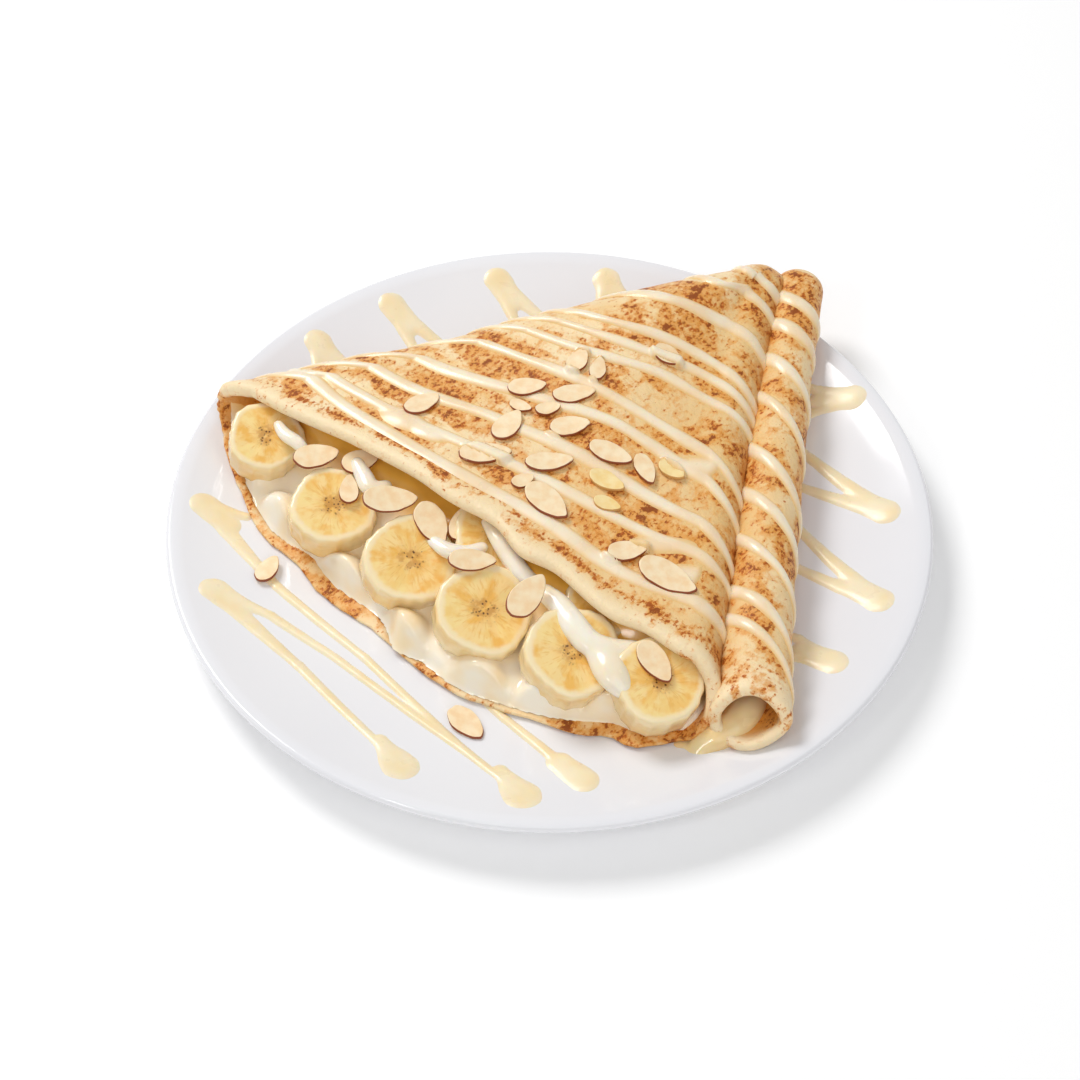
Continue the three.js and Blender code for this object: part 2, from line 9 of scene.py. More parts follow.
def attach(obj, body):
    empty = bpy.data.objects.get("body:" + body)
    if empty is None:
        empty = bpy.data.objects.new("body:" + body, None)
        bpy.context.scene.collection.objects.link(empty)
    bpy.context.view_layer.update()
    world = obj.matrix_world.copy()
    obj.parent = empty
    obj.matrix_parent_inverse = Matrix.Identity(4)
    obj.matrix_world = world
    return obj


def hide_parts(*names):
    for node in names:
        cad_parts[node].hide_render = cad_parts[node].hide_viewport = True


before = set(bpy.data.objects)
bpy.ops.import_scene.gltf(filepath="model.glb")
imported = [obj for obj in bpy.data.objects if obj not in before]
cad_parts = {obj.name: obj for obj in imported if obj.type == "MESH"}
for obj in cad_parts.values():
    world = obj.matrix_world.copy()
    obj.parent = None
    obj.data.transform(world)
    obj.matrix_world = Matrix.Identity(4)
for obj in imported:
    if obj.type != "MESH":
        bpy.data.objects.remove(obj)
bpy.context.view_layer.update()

# Sizes in millimetres, the same as the solids'
MM = 0.001
GAP = 0.35
RIM_RADIUS = 130
RIM_HEIGHT = 17
LIP = 3.5
WELL_RADIUS = 78
WELL_HEIGHT = 7
FOOT_RADIUS = 62
FOOT_HOLLOW = 2.5
SHEET = 3
TIP = (86, 109)
LEFT_FOLD = radians(197.7)
RIGHT_FOLD = radians(261.2)
SPREAD = RIGHT_FOLD - LEFT_FOLD
REACH = 210
TIP_START = 4
TIP_ROUND = 20
TIP_TOP = 35.5
RIGHT_TOP = 33
CROWN = 4.5
FOLD_INSET = 10
LEFT_TOPS = ((0, 35.5), (28, 39.5), (62, 42.5), (90, 41), (118, 37.8), (140, 36.3),
             (185, 37.3), (210, 35.5))
RIGHT_PULL = 3
FLAP_EDGE = ((0, 200.5), (0.1, 188.5), (0.2, 179.5), (0.32, 173), (0.45, 170), (0.56, 168),
             (0.65, 173), (0.73, 173), (0.86, 181), (0.93, 182.5), (1, 187))
BOTTOM_EDGE = ((0, 213.5), (0.07, 215.5), (0.2, 217), (0.29, 213.2), (0.36, 214),
               (0.46, 212), (0.62, 215), (0.75, 213.5), (0.85, 211.5), (0.9, 209.5),
               (0.94, 211), (1, 206))
ROLL_TIP = (92.2, 109.5)
ROLL_MOUTH = (62.8, -91)
ROLL_BOW = 1.7
ROLL_LENGTH = dist(ROLL_TIP, ROLL_MOUTH)
ROLL_WIDTHS = (18.5, 24.5)
ROLL_TOPS = (31, 29)
ROLL_ROUND = 0.05
ROLL_LIP = 5
SLICE_THICKNESS = 12.5
FLAKE_THICKNESS = 1.3
LEAN_TO = radians(-60)


# Small helpers for numbers
def lerp(low, high, part):
    return low + (high - low) * part


def clamp(value, low=0, high=1):
    return max(low, min(high, value))


def smooth(value):
    part = clamp(value)
    return part * part * (3 - 2 * part)


def blended(heights, softness):
    """The highest of several heights, with a soft join where two are alike."""
    top = max(heights)
    total = sum(exp((height - top) / softness) for height in heights)
    return top + softness * log(total)


def bell(value, width):
    return exp(-((value / width) ** 2))


def band(value, low, rise, high, fall):
    """1 from low + rise to high, and falling softly to 0 on both sides."""
    return smooth((value - low) / rise) * (1 - smooth((value - high) / fall))


def ripple(*place):
    return noise.noise(Vector(place))


def through(points, where):
    """A smooth value at where, through (place, value) points in rising order."""
    if where <= points[0][0]:
        return points[0][1]
    for i in range(len(points) - 1):
        (start, low), (end, high) = points[i], points[i + 1]
        if where <= end:
            before = points[max(i - 1, 0)]
            after = points[min(i + 2, len(points) - 1)]
            span = end - start
            into = (high - before[1]) / max(end - before[0], 1e-6) * span
            out = (after[1] - low) / max(after[0] - start, 1e-6) * span
            t = (where - start) / span
            return lerp(low, high, smooth(t)) + t * (1 - t) * (into * (1 - t) - out * t)
    return points[-1][1]


# The shapes that the pieces follow
def plate_top(x, y):
    climb = (hypot(x, y) - WELL_RADIUS) / (RIM_RADIUS - LIP / 2 - WELL_RADIUS)
    return WELL_HEIGHT + (RIM_HEIGHT - WELL_HEIGHT) * clamp(climb) ** 2


def on_plan(along, distance):
    turn = LEFT_FOLD + along / distance
    return TIP[0] + distance * cos(turn), TIP[1] + distance * sin(turn)


def section(distance):
    """The wedge's section at a distance from the tip: the radius and the middle of its left
    fold, the same of its right fold, and the heights of the two folds' tops."""
    arc = SPREAD * distance - RIGHT_PULL * smooth((distance - 20) / 80)
    left_top = through(LEFT_TOPS, distance)
    right_top = lerp(TIP_TOP, RIGHT_TOP, clamp(distance / REACH))
    left = (left_top - plate_top(*on_plan(FOLD_INSET, distance)) - GAP) / 2
    under_right = on_plan(max(arc - FOLD_INSET, 0), distance)
    right = (right_top - plate_top(*under_right) - GAP) / 2
    room = min(1, arc / (left + right))
    return left, left * room, right, arc - right * room, left_top, right_top


def wedge_point(around, distance, inset=0):
    """A point of the wedge: around is 0 to 1 below, to 2 up the right fold, to 3 back
    over the top and to 4 down the left fold, and distance is from the tip."""
    part = around % 4
    side = int(part)
    step = part - side
    shut = clamp((TIP_ROUND - distance) / (TIP_ROUND - TIP_START))
    full = sqrt(max(1 - shut * shut, 1e-4))
    left, left_middle, right, right_middle, left_top, right_top = section(distance)
    along = lerp(left_middle, right_middle, step if side == 0 else 1 - step)
    level = -1 if side == 0 else 1
    if side in (1, 3):
        turn = pi * (step + side / 2 - 1)
        middle, radius = (right_middle, right) if side == 1 else (left_middle, left)
        along = middle + (radius * full - inset) * cos(turn)
        level = sin(turn)
    across = (along - (left_middle + right_middle) / 2) / max(right_middle - left_middle, 8)
    across = clamp(0.5 + across)
    crown = CROWN * smooth((distance - TIP_ROUND) / (REACH - 60)) * sin(pi * across)
    top = lerp(left_top, right_top, smooth(across)) + crown
    x, y = on_plan(along, distance)
    bottom = plate_top(x, y) + GAP
    z = (top + bottom) / 2 + level * ((top - bottom) / 2 * full - inset)
    return Vector((x, y, z))


def flap_edge(across):
    return through(FLAP_EDGE, across)


def mouth(around):
    """How far from the tip the wedge reaches, round its open front."""
    part = around % 4
    side = int(part)
    step = part - side
    if side == 0:
        return through(BOTTOM_EDGE, step)
    if side == 1:
        return lerp(BOTTOM_EDGE[-1][1], FLAP_EDGE[-1][1], smooth(step))
    if side == 2:
        return flap_edge(1 - step)
    return lerp(FLAP_EDGE[0][1], BOTTOM_EDGE[0][1], smooth(step) ** 0.3)


def roll_point(turn, part, inset=0):
    """A point of the second pocket: turn goes round it and part runs from tip to mouth."""
    ahead_x = (ROLL_MOUTH[0] - ROLL_TIP[0]) / ROLL_LENGTH
    ahead_y = (ROLL_MOUTH[1] - ROLL_TIP[1]) / ROLL_LENGTH
    shut = clamp((ROLL_ROUND - part) / ROLL_ROUND)
    full = sqrt(max(1 - shut * shut, 1e-3))
    out = ROLL_LENGTH * part - ROLL_LIP * sin(turn) * smooth((part - 0.6) / 0.4)
    across = (lerp(*ROLL_WIDTHS, part) / 2 - inset) * full * cos(turn)
    across += -ROLL_BOW * sin(pi * clamp(part))
    x = ROLL_TIP[0] + ahead_x * out - ahead_y * across
    y = ROLL_TIP[1] + ahead_y * out + ahead_x * across
    bottom = plate_top(x, y) + GAP
    top = lerp(*ROLL_TOPS, part)
    z = (top + bottom) / 2 + ((top - bottom) / 2 - inset) * full * sin(turn)
    return Vector((x, y, z))


def unevenness(place):
    """The crepe's soft pillows and dimples, as a height in millimetres."""
    broad = noise.noise(place / 30 + Vector((3.1, 0.4, 8.2)))
    small = noise.noise(place / 8 + Vector((1.7, 5.3, 2.9)))
    return 0.75 * broad + 0.16 * small


def wedge_skin(around, distance, lift=0):
    rise = unevenness(wedge_point(around, distance))
    return wedge_point(around, distance, -rise - lift)


def roll_skin(turn, part, lift=0):
    rise = unevenness(roll_point(turn, part))
    return roll_point(turn, part, -rise - lift)


# Mesh helpers
def add_to_scene(name, data):
    made = bpy.data.objects.new(name, data)
    bpy.context.scene.collection.objects.link(made)
    return made


def finish_piece(name, bm, material, node):
    """Turn a mesh in millimetres into an object that stands for a CAD node."""
    mesh = bpy.data.meshes.new(name)
    for vert in bm.verts:
        vert.co *= MM
    for face in bm.faces:
        face.smooth = True
    bm.to_mesh(mesh)
    bm.free()
    mesh.materials.append(material)
    piece = add_to_scene(name, mesh)
    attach(piece, "root")
    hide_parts(node)
    return piece


def shaped_grid(columns, rows, place, marks):
    """A grid whose corners go where place(u, v) says. marks(u, v) is its named numbers there."""
    bm = bmesh.new()
    names = list(marks(0, 0))
    for name in names:
        bm.verts.layers.float.new(name)
    layers = {name: bm.verts.layers.float[name] for name in names}
    bmesh.ops.create_grid(bm, x_segments=columns, y_segments=rows, size=0.5)
    for vert in bm.verts:
        u = vert.co.x + 0.5
        v = vert.co.y + 0.5
        for name, value in marks(u, v).items():
            vert[layers[name]] = value
        vert.co = place(u, v)
    return bm


def film(columns, rows, place, height, sunk=-0.35, under=None):
    """A poured film: only the cells that stand above the surface below them are kept."""
    rises = {}

    def marks(u, v):
        rises[u, v] = max(height(u, v), sunk)
        # under: how far a cell is painted with the golden shade of the hollow under the flap
        return {"tall": rises[u, v], "under": under(u, v) if under else 0}

    def risen(u, v):
        return place(u, v, rises[u, v])

    bm = shaped_grid(columns, rows, risen, marks)
    tall = bm.verts.layers.float["tall"]
    floor = sunk + 1e-4
    low = [face for face in bm.faces if all(vert[tall] <= floor for vert in face.verts)]
    bmesh.ops.delete(bm, geom=low, context="FACES")
    return bm


def turned(outline, steps):
    """A closed round piece from an outline of (radius, height) that starts and ends in its middle."""
    bm = bmesh.new()
    verts = [bm.verts.new((radius, 0, height)) for radius, height in outline]
    edges = [bm.edges.new(pair) for pair in zip(verts, verts[1:])]
    full = {"angle": tau, "steps": steps, "use_merge": True}
    bmesh.ops.spin(bm, geom=verts + edges, cent=(0, 0, 0), axis=(0, 0, 1), **full)
    bmesh.ops.remove_doubles(bm, verts=bm.verts[:], dist=1e-4)
    outward(bm)
    return bm


def outward(bm):
    bmesh.ops.recalc_face_normals(bm, faces=bm.faces[:])


# Materials: colours are given as they show on a screen, 0 to 255
def colour(*shown):
    parts = [value / 255 for value in shown]
    linear = [part / 12.92 if part <= 0.04045 else ((part + 0.055) / 1.055) ** 2.4 for part in parts]
    return (*linear, 1)


def mottled_group():
    """Clouds of two colours: noise at a scale, faded between two of its levels."""
    group = bpy.data.node_groups.new("mottled", "ShaderNodeTree")
    cloud = group.nodes.new("ShaderNodeTexNoise")
    level = group.nodes.new("ShaderNodeMapRange")
    level.interpolation_type = "SMOOTHSTEP"
    tint = group.nodes.new("ShaderNodeMix")
    tint.data_type = "RGBA"
    inputs = (
        ("Place", "Vector", cloud.inputs["Vector"]),
        ("Scale", "Float", cloud.inputs["Scale"]),
        ("Detail", "Float", cloud.inputs["Detail"]),
        ("Low", "Float", level.inputs["From Min"]),
        ("High", "Float", level.inputs["From Max"]),
        ("First", "Color", tint.inputs[6]),
        ("Second", "Color", tint.inputs[7]),
    )
    for name, kind, socket in inputs:
        group.interface.new_socket(name=name, in_out="INPUT", socket_type=f"NodeSocket{kind}")
    group.interface.new_socket(name="Colour", in_out="OUTPUT", socket_type="NodeSocketColor")
    given = group.nodes.new("NodeGroupInput")
    result = group.nodes.new("NodeGroupOutput")
    for name, kind, socket in inputs:
        group.links.new(given.outputs[name], socket)
    group.links.new(cloud.outputs["Fac"], level.inputs["Value"])
    group.links.new(level.outputs["Result"], tint.inputs[0])
    group.links.new(tint.outputs[2], result.inputs["Colour"])
    return group


MOTTLED = mottled_group()


class Finish:
    """A material round one Principled shader, with short calls for the nodes that feed it.
    The name of a mark on the mesh may stand wherever a node takes a value."""

    def __init__(self, name, **values):
        self.material = bpy.data.materials.new(name)
        self.material.use_nodes = True
        self.tree = self.material.node_tree
        self.tree.nodes.clear()
        output = self.tree.nodes.new("ShaderNodeOutputMaterial")
        self.shader = self.tree.nodes.new("ShaderNodeBsdfPrincipled")
        self.tree.links.new(self.shader.outputs["BSDF"], output.inputs["Surface"])
        for socket, value in values.items():
            self.set(socket.replace("_", " "), value)

    def put(self, socket, value):
        if isinstance(value, str):
            value = self.node("ShaderNodeAttribute", "Fac", attribute_name=value)
        if isinstance(value, bpy.types.NodeSocket):
            self.tree.links.new(value, socket)
        else:
            socket.default_value = value

    def set(self, socket, value):
        self.put(self.shader.inputs[socket], value)

    def node(self, kind, output=0, inputs=(), **settings):
        made = self.tree.nodes.new(kind)
        for setting, value in settings.items():
            setattr(made, setting, value)
        for index, value in dict(inputs).items():
            self.put(made.inputs[index], value)
        return made.outputs[output]

    def place(self, turn=0):
        """Object coordinates, turned about the upright axis."""
        here = self.node("ShaderNodeTexCoord", "Object")
        return self.node("ShaderNodeMapping", 0, {"Vector": here, "Rotation": (0, 0, turn)})

    def stretched(self, where, scale):
        return self.node("ShaderNodeMapping", 0, {"Vector": where, "Scale": scale})

    def noise(self, where, scale, detail=3, rough=0.55, bend=0):
        inputs = dict(Vector=where, Scale=scale, Detail=detail, Roughness=rough, Distortion=bend)
        return self.node("ShaderNodeTexNoise", "Fac", inputs)

    def cells(self, where, scale):
        return self.node("ShaderNodeTexVoronoi", "Distance", {"Vector": where, "Scale": scale})

    def times(self, first, second):
        return self.node("ShaderNodeMath", 0, {0: first, 1: second}, operation="MULTIPLY")

    def raised(self, value, *shifts):
        """A value raised by others, each times its weight."""
        for other, weight in shifts:
            inputs = {0: other, 1: weight, 2: value}
            value = self.node("ShaderNodeMath", 0, inputs, operation="MULTIPLY_ADD")
        return value

    def fade(self, value, low, high, start=0, end=1):
        inputs = {"Value": value, "From Min": low, "From Max": high, "To Min": start, "To Max": end}
        return self.node("ShaderNodeMapRange", 0, inputs, interpolation_type="SMOOTHSTEP")

    def mix(self, factor, first, second):
        return self.node("ShaderNodeMix", 2, {0: factor, 6: first, 7: second}, data_type="RGBA")

    def layered(self, base, *layers):
        """Colours laid one after the other over a base: mask, strength and colour of each."""
        for mask, strength, tint in layers:
            mask = self.times(mask, strength) if strength < 1 else mask
            base = self.mix(mask, base, colour(*tint))
        return base

    def mottled(self, where, scale, low, high, first, second, detail=3):
        inputs = {"Place": where, "Scale": scale, "Detail": detail, "Low": low, "High": high}
        inputs.update({"First": colour(*first), "Second": colour(*second)})
        return self.node("ShaderNodeGroup", "Colour", inputs, node_tree=MOTTLED)

    def bump(self, height, strength, distance):
        inputs = {"Height": height, "Strength": strength, "Distance": distance}
        self.set("Normal", self.node("ShaderNodeBump", 0, inputs))


def crepe_finish():
    """Pale batter, browned in patches of freckles that run along the folds, with painted shade: the
    inner side is coloured deep orange for the warm shade inside the folds, and the join of the two
    pockets is painted dark.
    """
    made = Finish("toasted_crepe", Specular_IOR_Level=0.3, Subsurface_Weight=0.15,
                  Subsurface_Radius=(0.004, 0.0026, 0.0012))
    here = made.place()
    to_mouth = made.place(-(LEFT_FOLD + RIGHT_FOLD) / 2)
    bands = made.stretched(to_mouth, (1.7, 0.9, 1))
    streaks = made.stretched(to_mouth, (0.8, 1, 1))
    patches = made.raised(made.noise(bands, 38, 3, 0.55, 0.8), ("rim", 0.04), ("lip", -0.05))
    mask = made.fade(patches, 0.42, 0.58)
    blots = made.noise(streaks, 210, 5, 0.65, 0.3)
    grains = made.noise(streaks, 620, 4, 0.65)
    bake = made.raised(grains, (blots, 0.35), (mask, 0.15), ("crease", 0.13), ("inside", -0.06))
    bake = made.raised(bake, ("lip", -0.06))
    dark = made.raised(blots, (grains, 0.25), (mask, 0.15), ("crease", 0.05), ("lip", -0.08))
    dense = made.fade(bake, 0.6, 0.92)
    away = made.raised(made.cells(streaks, 620), (dense, -0.5))
    dots = made.times(made.fade(away, -0.12, 0.02, 1, 0), dense)
    toast = made.fade(dark, 0.82, 0.9)
    base = made.layered(
        made.mottled(here, 60, 0.35, 0.7, (249, 227, 184), (245, 212, 157)),
        ("golden", 0.55, (232, 186, 112)),
        (mask, 0.7, (236, 184, 108)),
        # painted shade: the sheet's inner side is coloured deep orange so the hollows under the folds
        # show the warm golden tone of their shade
        ("inside", 1, (234, 156, 52)),
        ("lip", 0.85, (252, 230, 190)),
        (made.fade(dark, 0.6, 0.8), 0.8, (230, 160, 76)),
        (made.fade(bake, 0.77, 0.87), 0.7, (216, 138, 50)),
        (dots, 1, (192, 102, 28)),
        (made.fade(bake, 0.88, 0.96), 1, (170, 88, 26)),
        (toast, 1, (150, 76, 22)),
        # painted shade: darkens the crevice where the second pocket meets the wedge
        ("seam", 0.6, (160, 96, 40)),
    )
    made.set("Base Color", base)
    made.set("Roughness", made.fade(toast, 0, 1, 0.4, 0.55))
    pits = made.noise(here, 900, 4, 0.6)
    made.bump(made.raised(pits, (made.noise(here, 260, 3, 0.5), 1.6)), 0.55, 0.0006)
    return made.material


CREPE = crepe_finish()


def milk_finish(name, tint, deep, edge=None, gloss=0.35, depth=0.4):
    """Poured milk: edge is the colour that shows through where it lies thin, and where the under mark
    is set the milk is painted a golden shade.
    """
    made = Finish(name, Coat_Weight=gloss, Coat_Roughness=0.1, Subsurface_Weight=depth,
                  Subsurface_Radius=(0.006, 0.0042, 0.002))
    here = made.place()
    milk = made.mottled(here, 70, 0.35, 0.7, tint, deep, 2)
    if edge:
        milk = made.layered(milk, (made.fade("tall", 0, 0.8, 0.95, 0), 1, edge))
    # painted shade: cream that lies deep under the flap is coloured golden for the warm shade there
    made.set("Base Color", made.layered(milk, ("under", 1, (255, 198, 84))))
    dull = 0.34 - 0.5 * gloss
    made.set("Roughness", made.fade(made.noise(here, 160, 2), 0.3, 0.7, dull, dull + 0.12))
    made.bump(made.noise(here, 220, 2, 0.4), 0.1, 0.0004)
    return made.material


MILK_ON_CREPE = milk_finish("condensed_milk", (251, 234, 206), (246, 220, 182), (238, 198, 130), 0.2)
MILK_ON_PLATE = milk_finish("condensed_milk_on_plate", (250, 234, 200), (245, 224, 178),
                            (246, 231, 200), 0.15)
CREAM = milk_finish("thick_cream", (255, 247, 230), (255, 233, 194), gloss=0.45, depth=0.12)
SPILL_MILK = milk_finish("milk_in_fold", (252, 230, 180), (240, 208, 146))
STRAND = milk_finish("poured_milk", (253, 244, 230), (250, 234, 206))


def glaze_finish():
    made = Finish("white_glaze", Roughness=0.12, Coat_Weight=0.4, Coat_Roughness=0.05)
    here = made.place()
    made.set("Base Color", made.mottled(here, 9, 0.3, 0.7, (240, 240, 243), (236, 236, 240), 2))
    made.set("Roughness", made.fade(made.noise(here, 40, 3), 0.3, 0.7, 0.1, 0.2))
    made.bump(made.noise(here, 26, 2, 0.4), 0.05, 0.0006)
    return made.material


GLAZE = glaze_finish()


def banana_finish():
    """Flesh with faint sectors and rays, seeds in its middle, and a paler ring and side."""
    made = Finish("banana_flesh", Roughness=0.22, Coat_Weight=0.4, Coat_Roughness=0.1,
                  Subsurface_Weight=0.25, Subsurface_Radius=(0.005, 0.0034, 0.0012))

    def vectors(operation, first, second=(0, 0, 0), output=0):
        return made.node("ShaderNodeVectorMath", output, {0: first, 1: second}, operation=operation)

    here = made.place()
    face = made.node("ShaderNodeUVMap", 0, uv_map="face")
    drift = vectors("MULTIPLY", here, (30, 30, 30))
    heading = vectors("ADD", vectors("NORMALIZE", face), drift)
    radius = vectors("LENGTH", face, output="Value")
    radius = made.raised(radius, (made.noise(heading, 4, 2), 0.1), (1, -0.05))
    sectors = made.fade(made.noise(heading, 1.5, 1), 0.42, 0.62)
    rays = made.fade(made.noise(heading, 9, 2), 0.52, 0.66)
    belt = made.times(made.fade(radius, 0.12, 0.3), made.fade(radius, 0.55, 0.8, 1, 0))
    seed_spread = made.fade(radius, 0.12, 0.42, 1, 0)
    crowd = made.raised(made.noise(here, 420, 3), (seed_spread, 0.22))
    dots = made.fade(made.cells(here, 900), 0.2, 0.42, 1, 0)
    seeds = made.times(made.times(dots, made.fade(crowd, 0.58, 0.66)), seed_spread)
    bruise = made.times(made.fade(crowd, 0.54, 0.74), seed_spread)
    flesh = made.layered(
        made.mottled(here, 200, 0.4, 0.62, (253, 219, 150), (245, 192, 98), 4),
        (sectors, 0.5, (253, 228, 156)),
        (made.fade(radius, 0.12, 0.55, 0.5, 0), 1, (238, 184, 84)),
        (made.times(rays, belt), 0.45, (232, 176, 80)),
        (made.fade(radius, 0.76, 0.88), 1, (254, 232, 188)),
        (bruise, 0.7, (198, 140, 66)),
        (seeds, 0.92, (78, 42, 18)),
    )
    side = made.mottled(here, 90, 0.35, 0.7, (253, 230, 182), (247, 210, 142))
    made.set("Base Color", made.mix("wall", flesh, side))
    wet = made.raised(made.noise(here, 130, 2), (made.noise(here, 420, 3, 0.5), 0.6))
    made.bump(wet, 0.3, 0.0007)
    return made.material


BANANA = banana_finish()


def almond_finish(name, light, shade, skin):
    made = Finish(name, Roughness=0.5, Coat_Weight=0.08, Coat_Roughness=0.3,
                  Subsurface_Weight=0.12, Subsurface_Radius=(0.002, 0.0014, 0.0008))
    here = made.place()
    nut = made.mottled(here, 300, 0.3, 0.75, light, shade)
    ragged = made.raised("skin", (made.noise(here, 320, 2), 0.5))
    made.set("Base Color", made.layered(nut, (made.fade(ragged, 1, 1.16), 1, skin)))
    made.bump(made.noise(here, 600, 3), 0.25, 0.0003)
    return made.material


ALMOND = almond_finish("almond_flake", (252, 230, 192), (246, 212, 164), (146, 72, 32))
BLANCHED = almond_finish("blanched_flake", (250, 226, 168), (244, 210, 136), (214, 164, 96))


# Plate: a round profile turned full circle
def build_plate():
    half = LIP / 2
    foot = ((-6, FOOT_HOLLOW), (-4.6, 2.1), (-3, 0.25), (-2.2, 0), (-0.6, 0), (0, 0.3),
            (1.2, 2), (3.5, 3))
    outline = [(0, FOOT_HOLLOW)]
    outline += [(FOOT_RADIUS + out, height) for out, height in foot]
    outline += [(radius, plate_top(radius, 0) - LIP) for radius in range(72, 127, 6)]
    for angle in range(-60, 100, 20):
        turn = radians(angle)
        across = RIM_RADIUS - half + half * cos(turn)
        outline.append((across, RIM_HEIGHT - half + half * sin(turn)))
    outline += [(radius, plate_top(radius, 0)) for radius in range(124, 0, -6)]
    outline.append((0, WELL_HEIGHT))
    finish_piece("plate_body", turned(outline, 144), GLAZE, "plate")


build_plate()


# Drizzle on the plate: each tongue has a head, and legs that run back to the crepe
TONGUES = (
    ((-85, 83), (((-84, 66), (-82, 54)), ((-69, 70), (-58, 60)))),
    ((-59, 103), (((-49, 82), (-41, 68)), ((-35, 83), (-22, 70)))),
    ((-20, 117), (((-12, 96), (-7, 82)), ((2, 96), (10, 84)))),
    ((21, 117), (((18, 104), (16, 92)), ((31, 106), (38, 95)))),
    ((108, 55), (((94, 62), (84, 64)), ((93, 56),), ((94, 51), (84, 50)))),
    ((115, 2), (((86, 38),), ((84, 20),))),
    ((109, -37), (((82, 4),), ((80, -16),))),
    ((92, -62), (((82, -50), (70, -44)), ((80, -58), (70, -56)))),
    ((-118, 3), (((-104, 1),), ((-91, -29), (-60, -58), (-25, -97), (-8, -114)))),
    ((-111, -34), (((-81, -63), (-46, -103)), ((-92, -42), (-70, -58), (-26, -96)))),
    ((11, -108), (((-3, -93), (-14, -82), (-24, -71)),)),
)
HEAD_LENGTH = 11
DRIPS = ((-46, -104), (-8, -115))
LINE_HALF = 1.85
LINE_HEIGHT = 1
DRIZZLE_SPAN = 124  # drizzle lies within this of the plate's middle, each way
DRIZZLE_CELLS = 354
TILE = 10  # side of the squares that strokes are sorted into
STROKE_REACH = 9


def plate_strokes():
    """(start, end, half width at each, height) of every straight stretch of drizzle."""
    strokes = []
    for head, legs in TONGUES:
        for leg in legs:
            path = [head, *leg]
            wide = LINE_HALF * 1.9
            for start, end in zip(path, path[1:]):
                narrow = LINE_HALF * (1.05 if start == head else 0.9)
                strokes.append((start, end, wide, narrow))
                wide = narrow
        fork_x = sum(leg[0][0] for leg in legs) / len(legs) - head[0]
        fork_y = sum(leg[0][1] for leg in legs) / len(legs) - head[1]
        reach = HEAD_LENGTH / hypot(fork_x, fork_y)
        fork = (head[0] + fork_x * reach, head[1] + fork_y * reach)
        strokes.append((head, fork, HEAD_LENGTH * 0.48, HEAD_LENGTH * 0.4))
    for x, y in DRIPS:
        strokes.append(((x, y), (x - 7, y + 11), HEAD_LENGTH * 0.58, HEAD_LENGTH * 0.25))
    return strokes


def tiles_near(one, other):
    """The tiles that a stroke reaches along one axis."""
    first = int((min(one, other) - STROKE_REACH) // TILE)
    last = int((max(one, other) + STROKE_REACH) // TILE)
    return range(first, last + 1)


def flattened(height, limit):
    """Height that levels off below a limit, as in a pool."""
    return limit * (1 - exp(-1.4 * height / limit)) if height > 0 else height


def stroke_height(x, y, stroke):
    (ax, ay), (bx, by), wide, narrow = stroke
    long_x, long_y = bx - ax, by - ay
    part = ((x - ax) * long_x + (y - ay) * long_y) / (long_x**2 + long_y**2)
    part = clamp(part)
    off = hypot(x - ax - long_x * part, y - ay - long_y * part)
    half = lerp(wide, narrow, smooth(part))
    return LINE_HEIGHT * (1 - (off / half) ** 2)


def build_plate_drizzle():
    near = {}
    for stroke in plate_strokes():
        (ax, ay), (bx, by) = stroke[0], stroke[1]
        for column in tiles_near(ax, bx):
            for row in tiles_near(ay, by):
                near.setdefault((column, row), []).append(stroke)

    def spot(u, v):
        return lerp(-DRIZZLE_SPAN, DRIZZLE_SPAN, u), lerp(-DRIZZLE_SPAN, DRIZZLE_SPAN, v)

    def height(u, v):
        x, y = spot(u, v)
        close = near.get((int(x // TILE), int(y // TILE)))
        if not close:
            return -1
        heights = [max(stroke_height(x, y, stroke), -2) for stroke in close]
        wobble = 0.125 * ripple(x / 5, y / 5, 4)
        return flattened(blended(heights, 0.16) + wobble - 0.05, 1.2 * LINE_HEIGHT)

    def place(u, v, rise):
        x, y = spot(u, v)
        return Vector((x, y, plate_top(x, y) + rise))

    bm = film(DRIZZLE_CELLS, DRIZZLE_CELLS, place, height)
    finish_piece("plate_drizzle", bm, MILK_ON_PLATE, "plate")


build_plate_drizzle()


# The crepe's sheet runs out to its edge, round its lip and back inside. These are the shares of
# the grid's rows that lie outside and on the lip
OUTSIDE_SHARE = 0.7
LIP_SHARE = 0.08
INSIDE_SHARE = 1 - OUTSIDE_SHARE - LIP_SHARE
SHEET_ROWS = 190
WELD = 0.02


def sheet_place(v, start, edge, spacing, depth, point, thickness, outer_share):
    """A place of a sheet along point(distance, inset). It goes back inside by a depth.
    thickness(back) is that far behind the edge, and outer_share of its swelling lies outside."""
    base = edge
    if v <= OUTSIDE_SHARE:
        distance = base = lerp(start, edge, (v / OUTSIDE_SHARE) ** spacing)
        thick = thickness(edge - distance)
        inset = 0
    elif v <= OUTSIDE_SHARE + LIP_SHARE:
        turn = pi * (v - OUTSIDE_SHARE) / LIP_SHARE
        thick = thickness(0)
        distance = edge + thick / 2 * sin(turn)
        inset = thick / 2 * (1 - cos(turn))
    else:
        back = depth * (v - OUTSIDE_SHARE - LIP_SHARE) / INSIDE_SHARE
        thick = inset = thickness(back)
        distance = base = edge - back
    rise = unevenness(point(base, 0)) + (thick - SHEET) * outer_share
    return point(distance, inset - rise)


def behind_lip(v, length, spacing, depth):
    """How far back from the edge a place of a sheet lies, outside or inside."""
    if v < OUTSIDE_SHARE:
        return (1 - (v / OUTSIDE_SHARE) ** spacing) * length
    return depth * max(v - OUTSIDE_SHARE - LIP_SHARE, 0) / INSIDE_SHARE


def outside(v):
    return 1 if v < OUTSIDE_SHARE else 0


def turned_in(v):
    return smooth((v - OUTSIDE_SHARE - LIP_SHARE / 2) / LIP_SHARE)


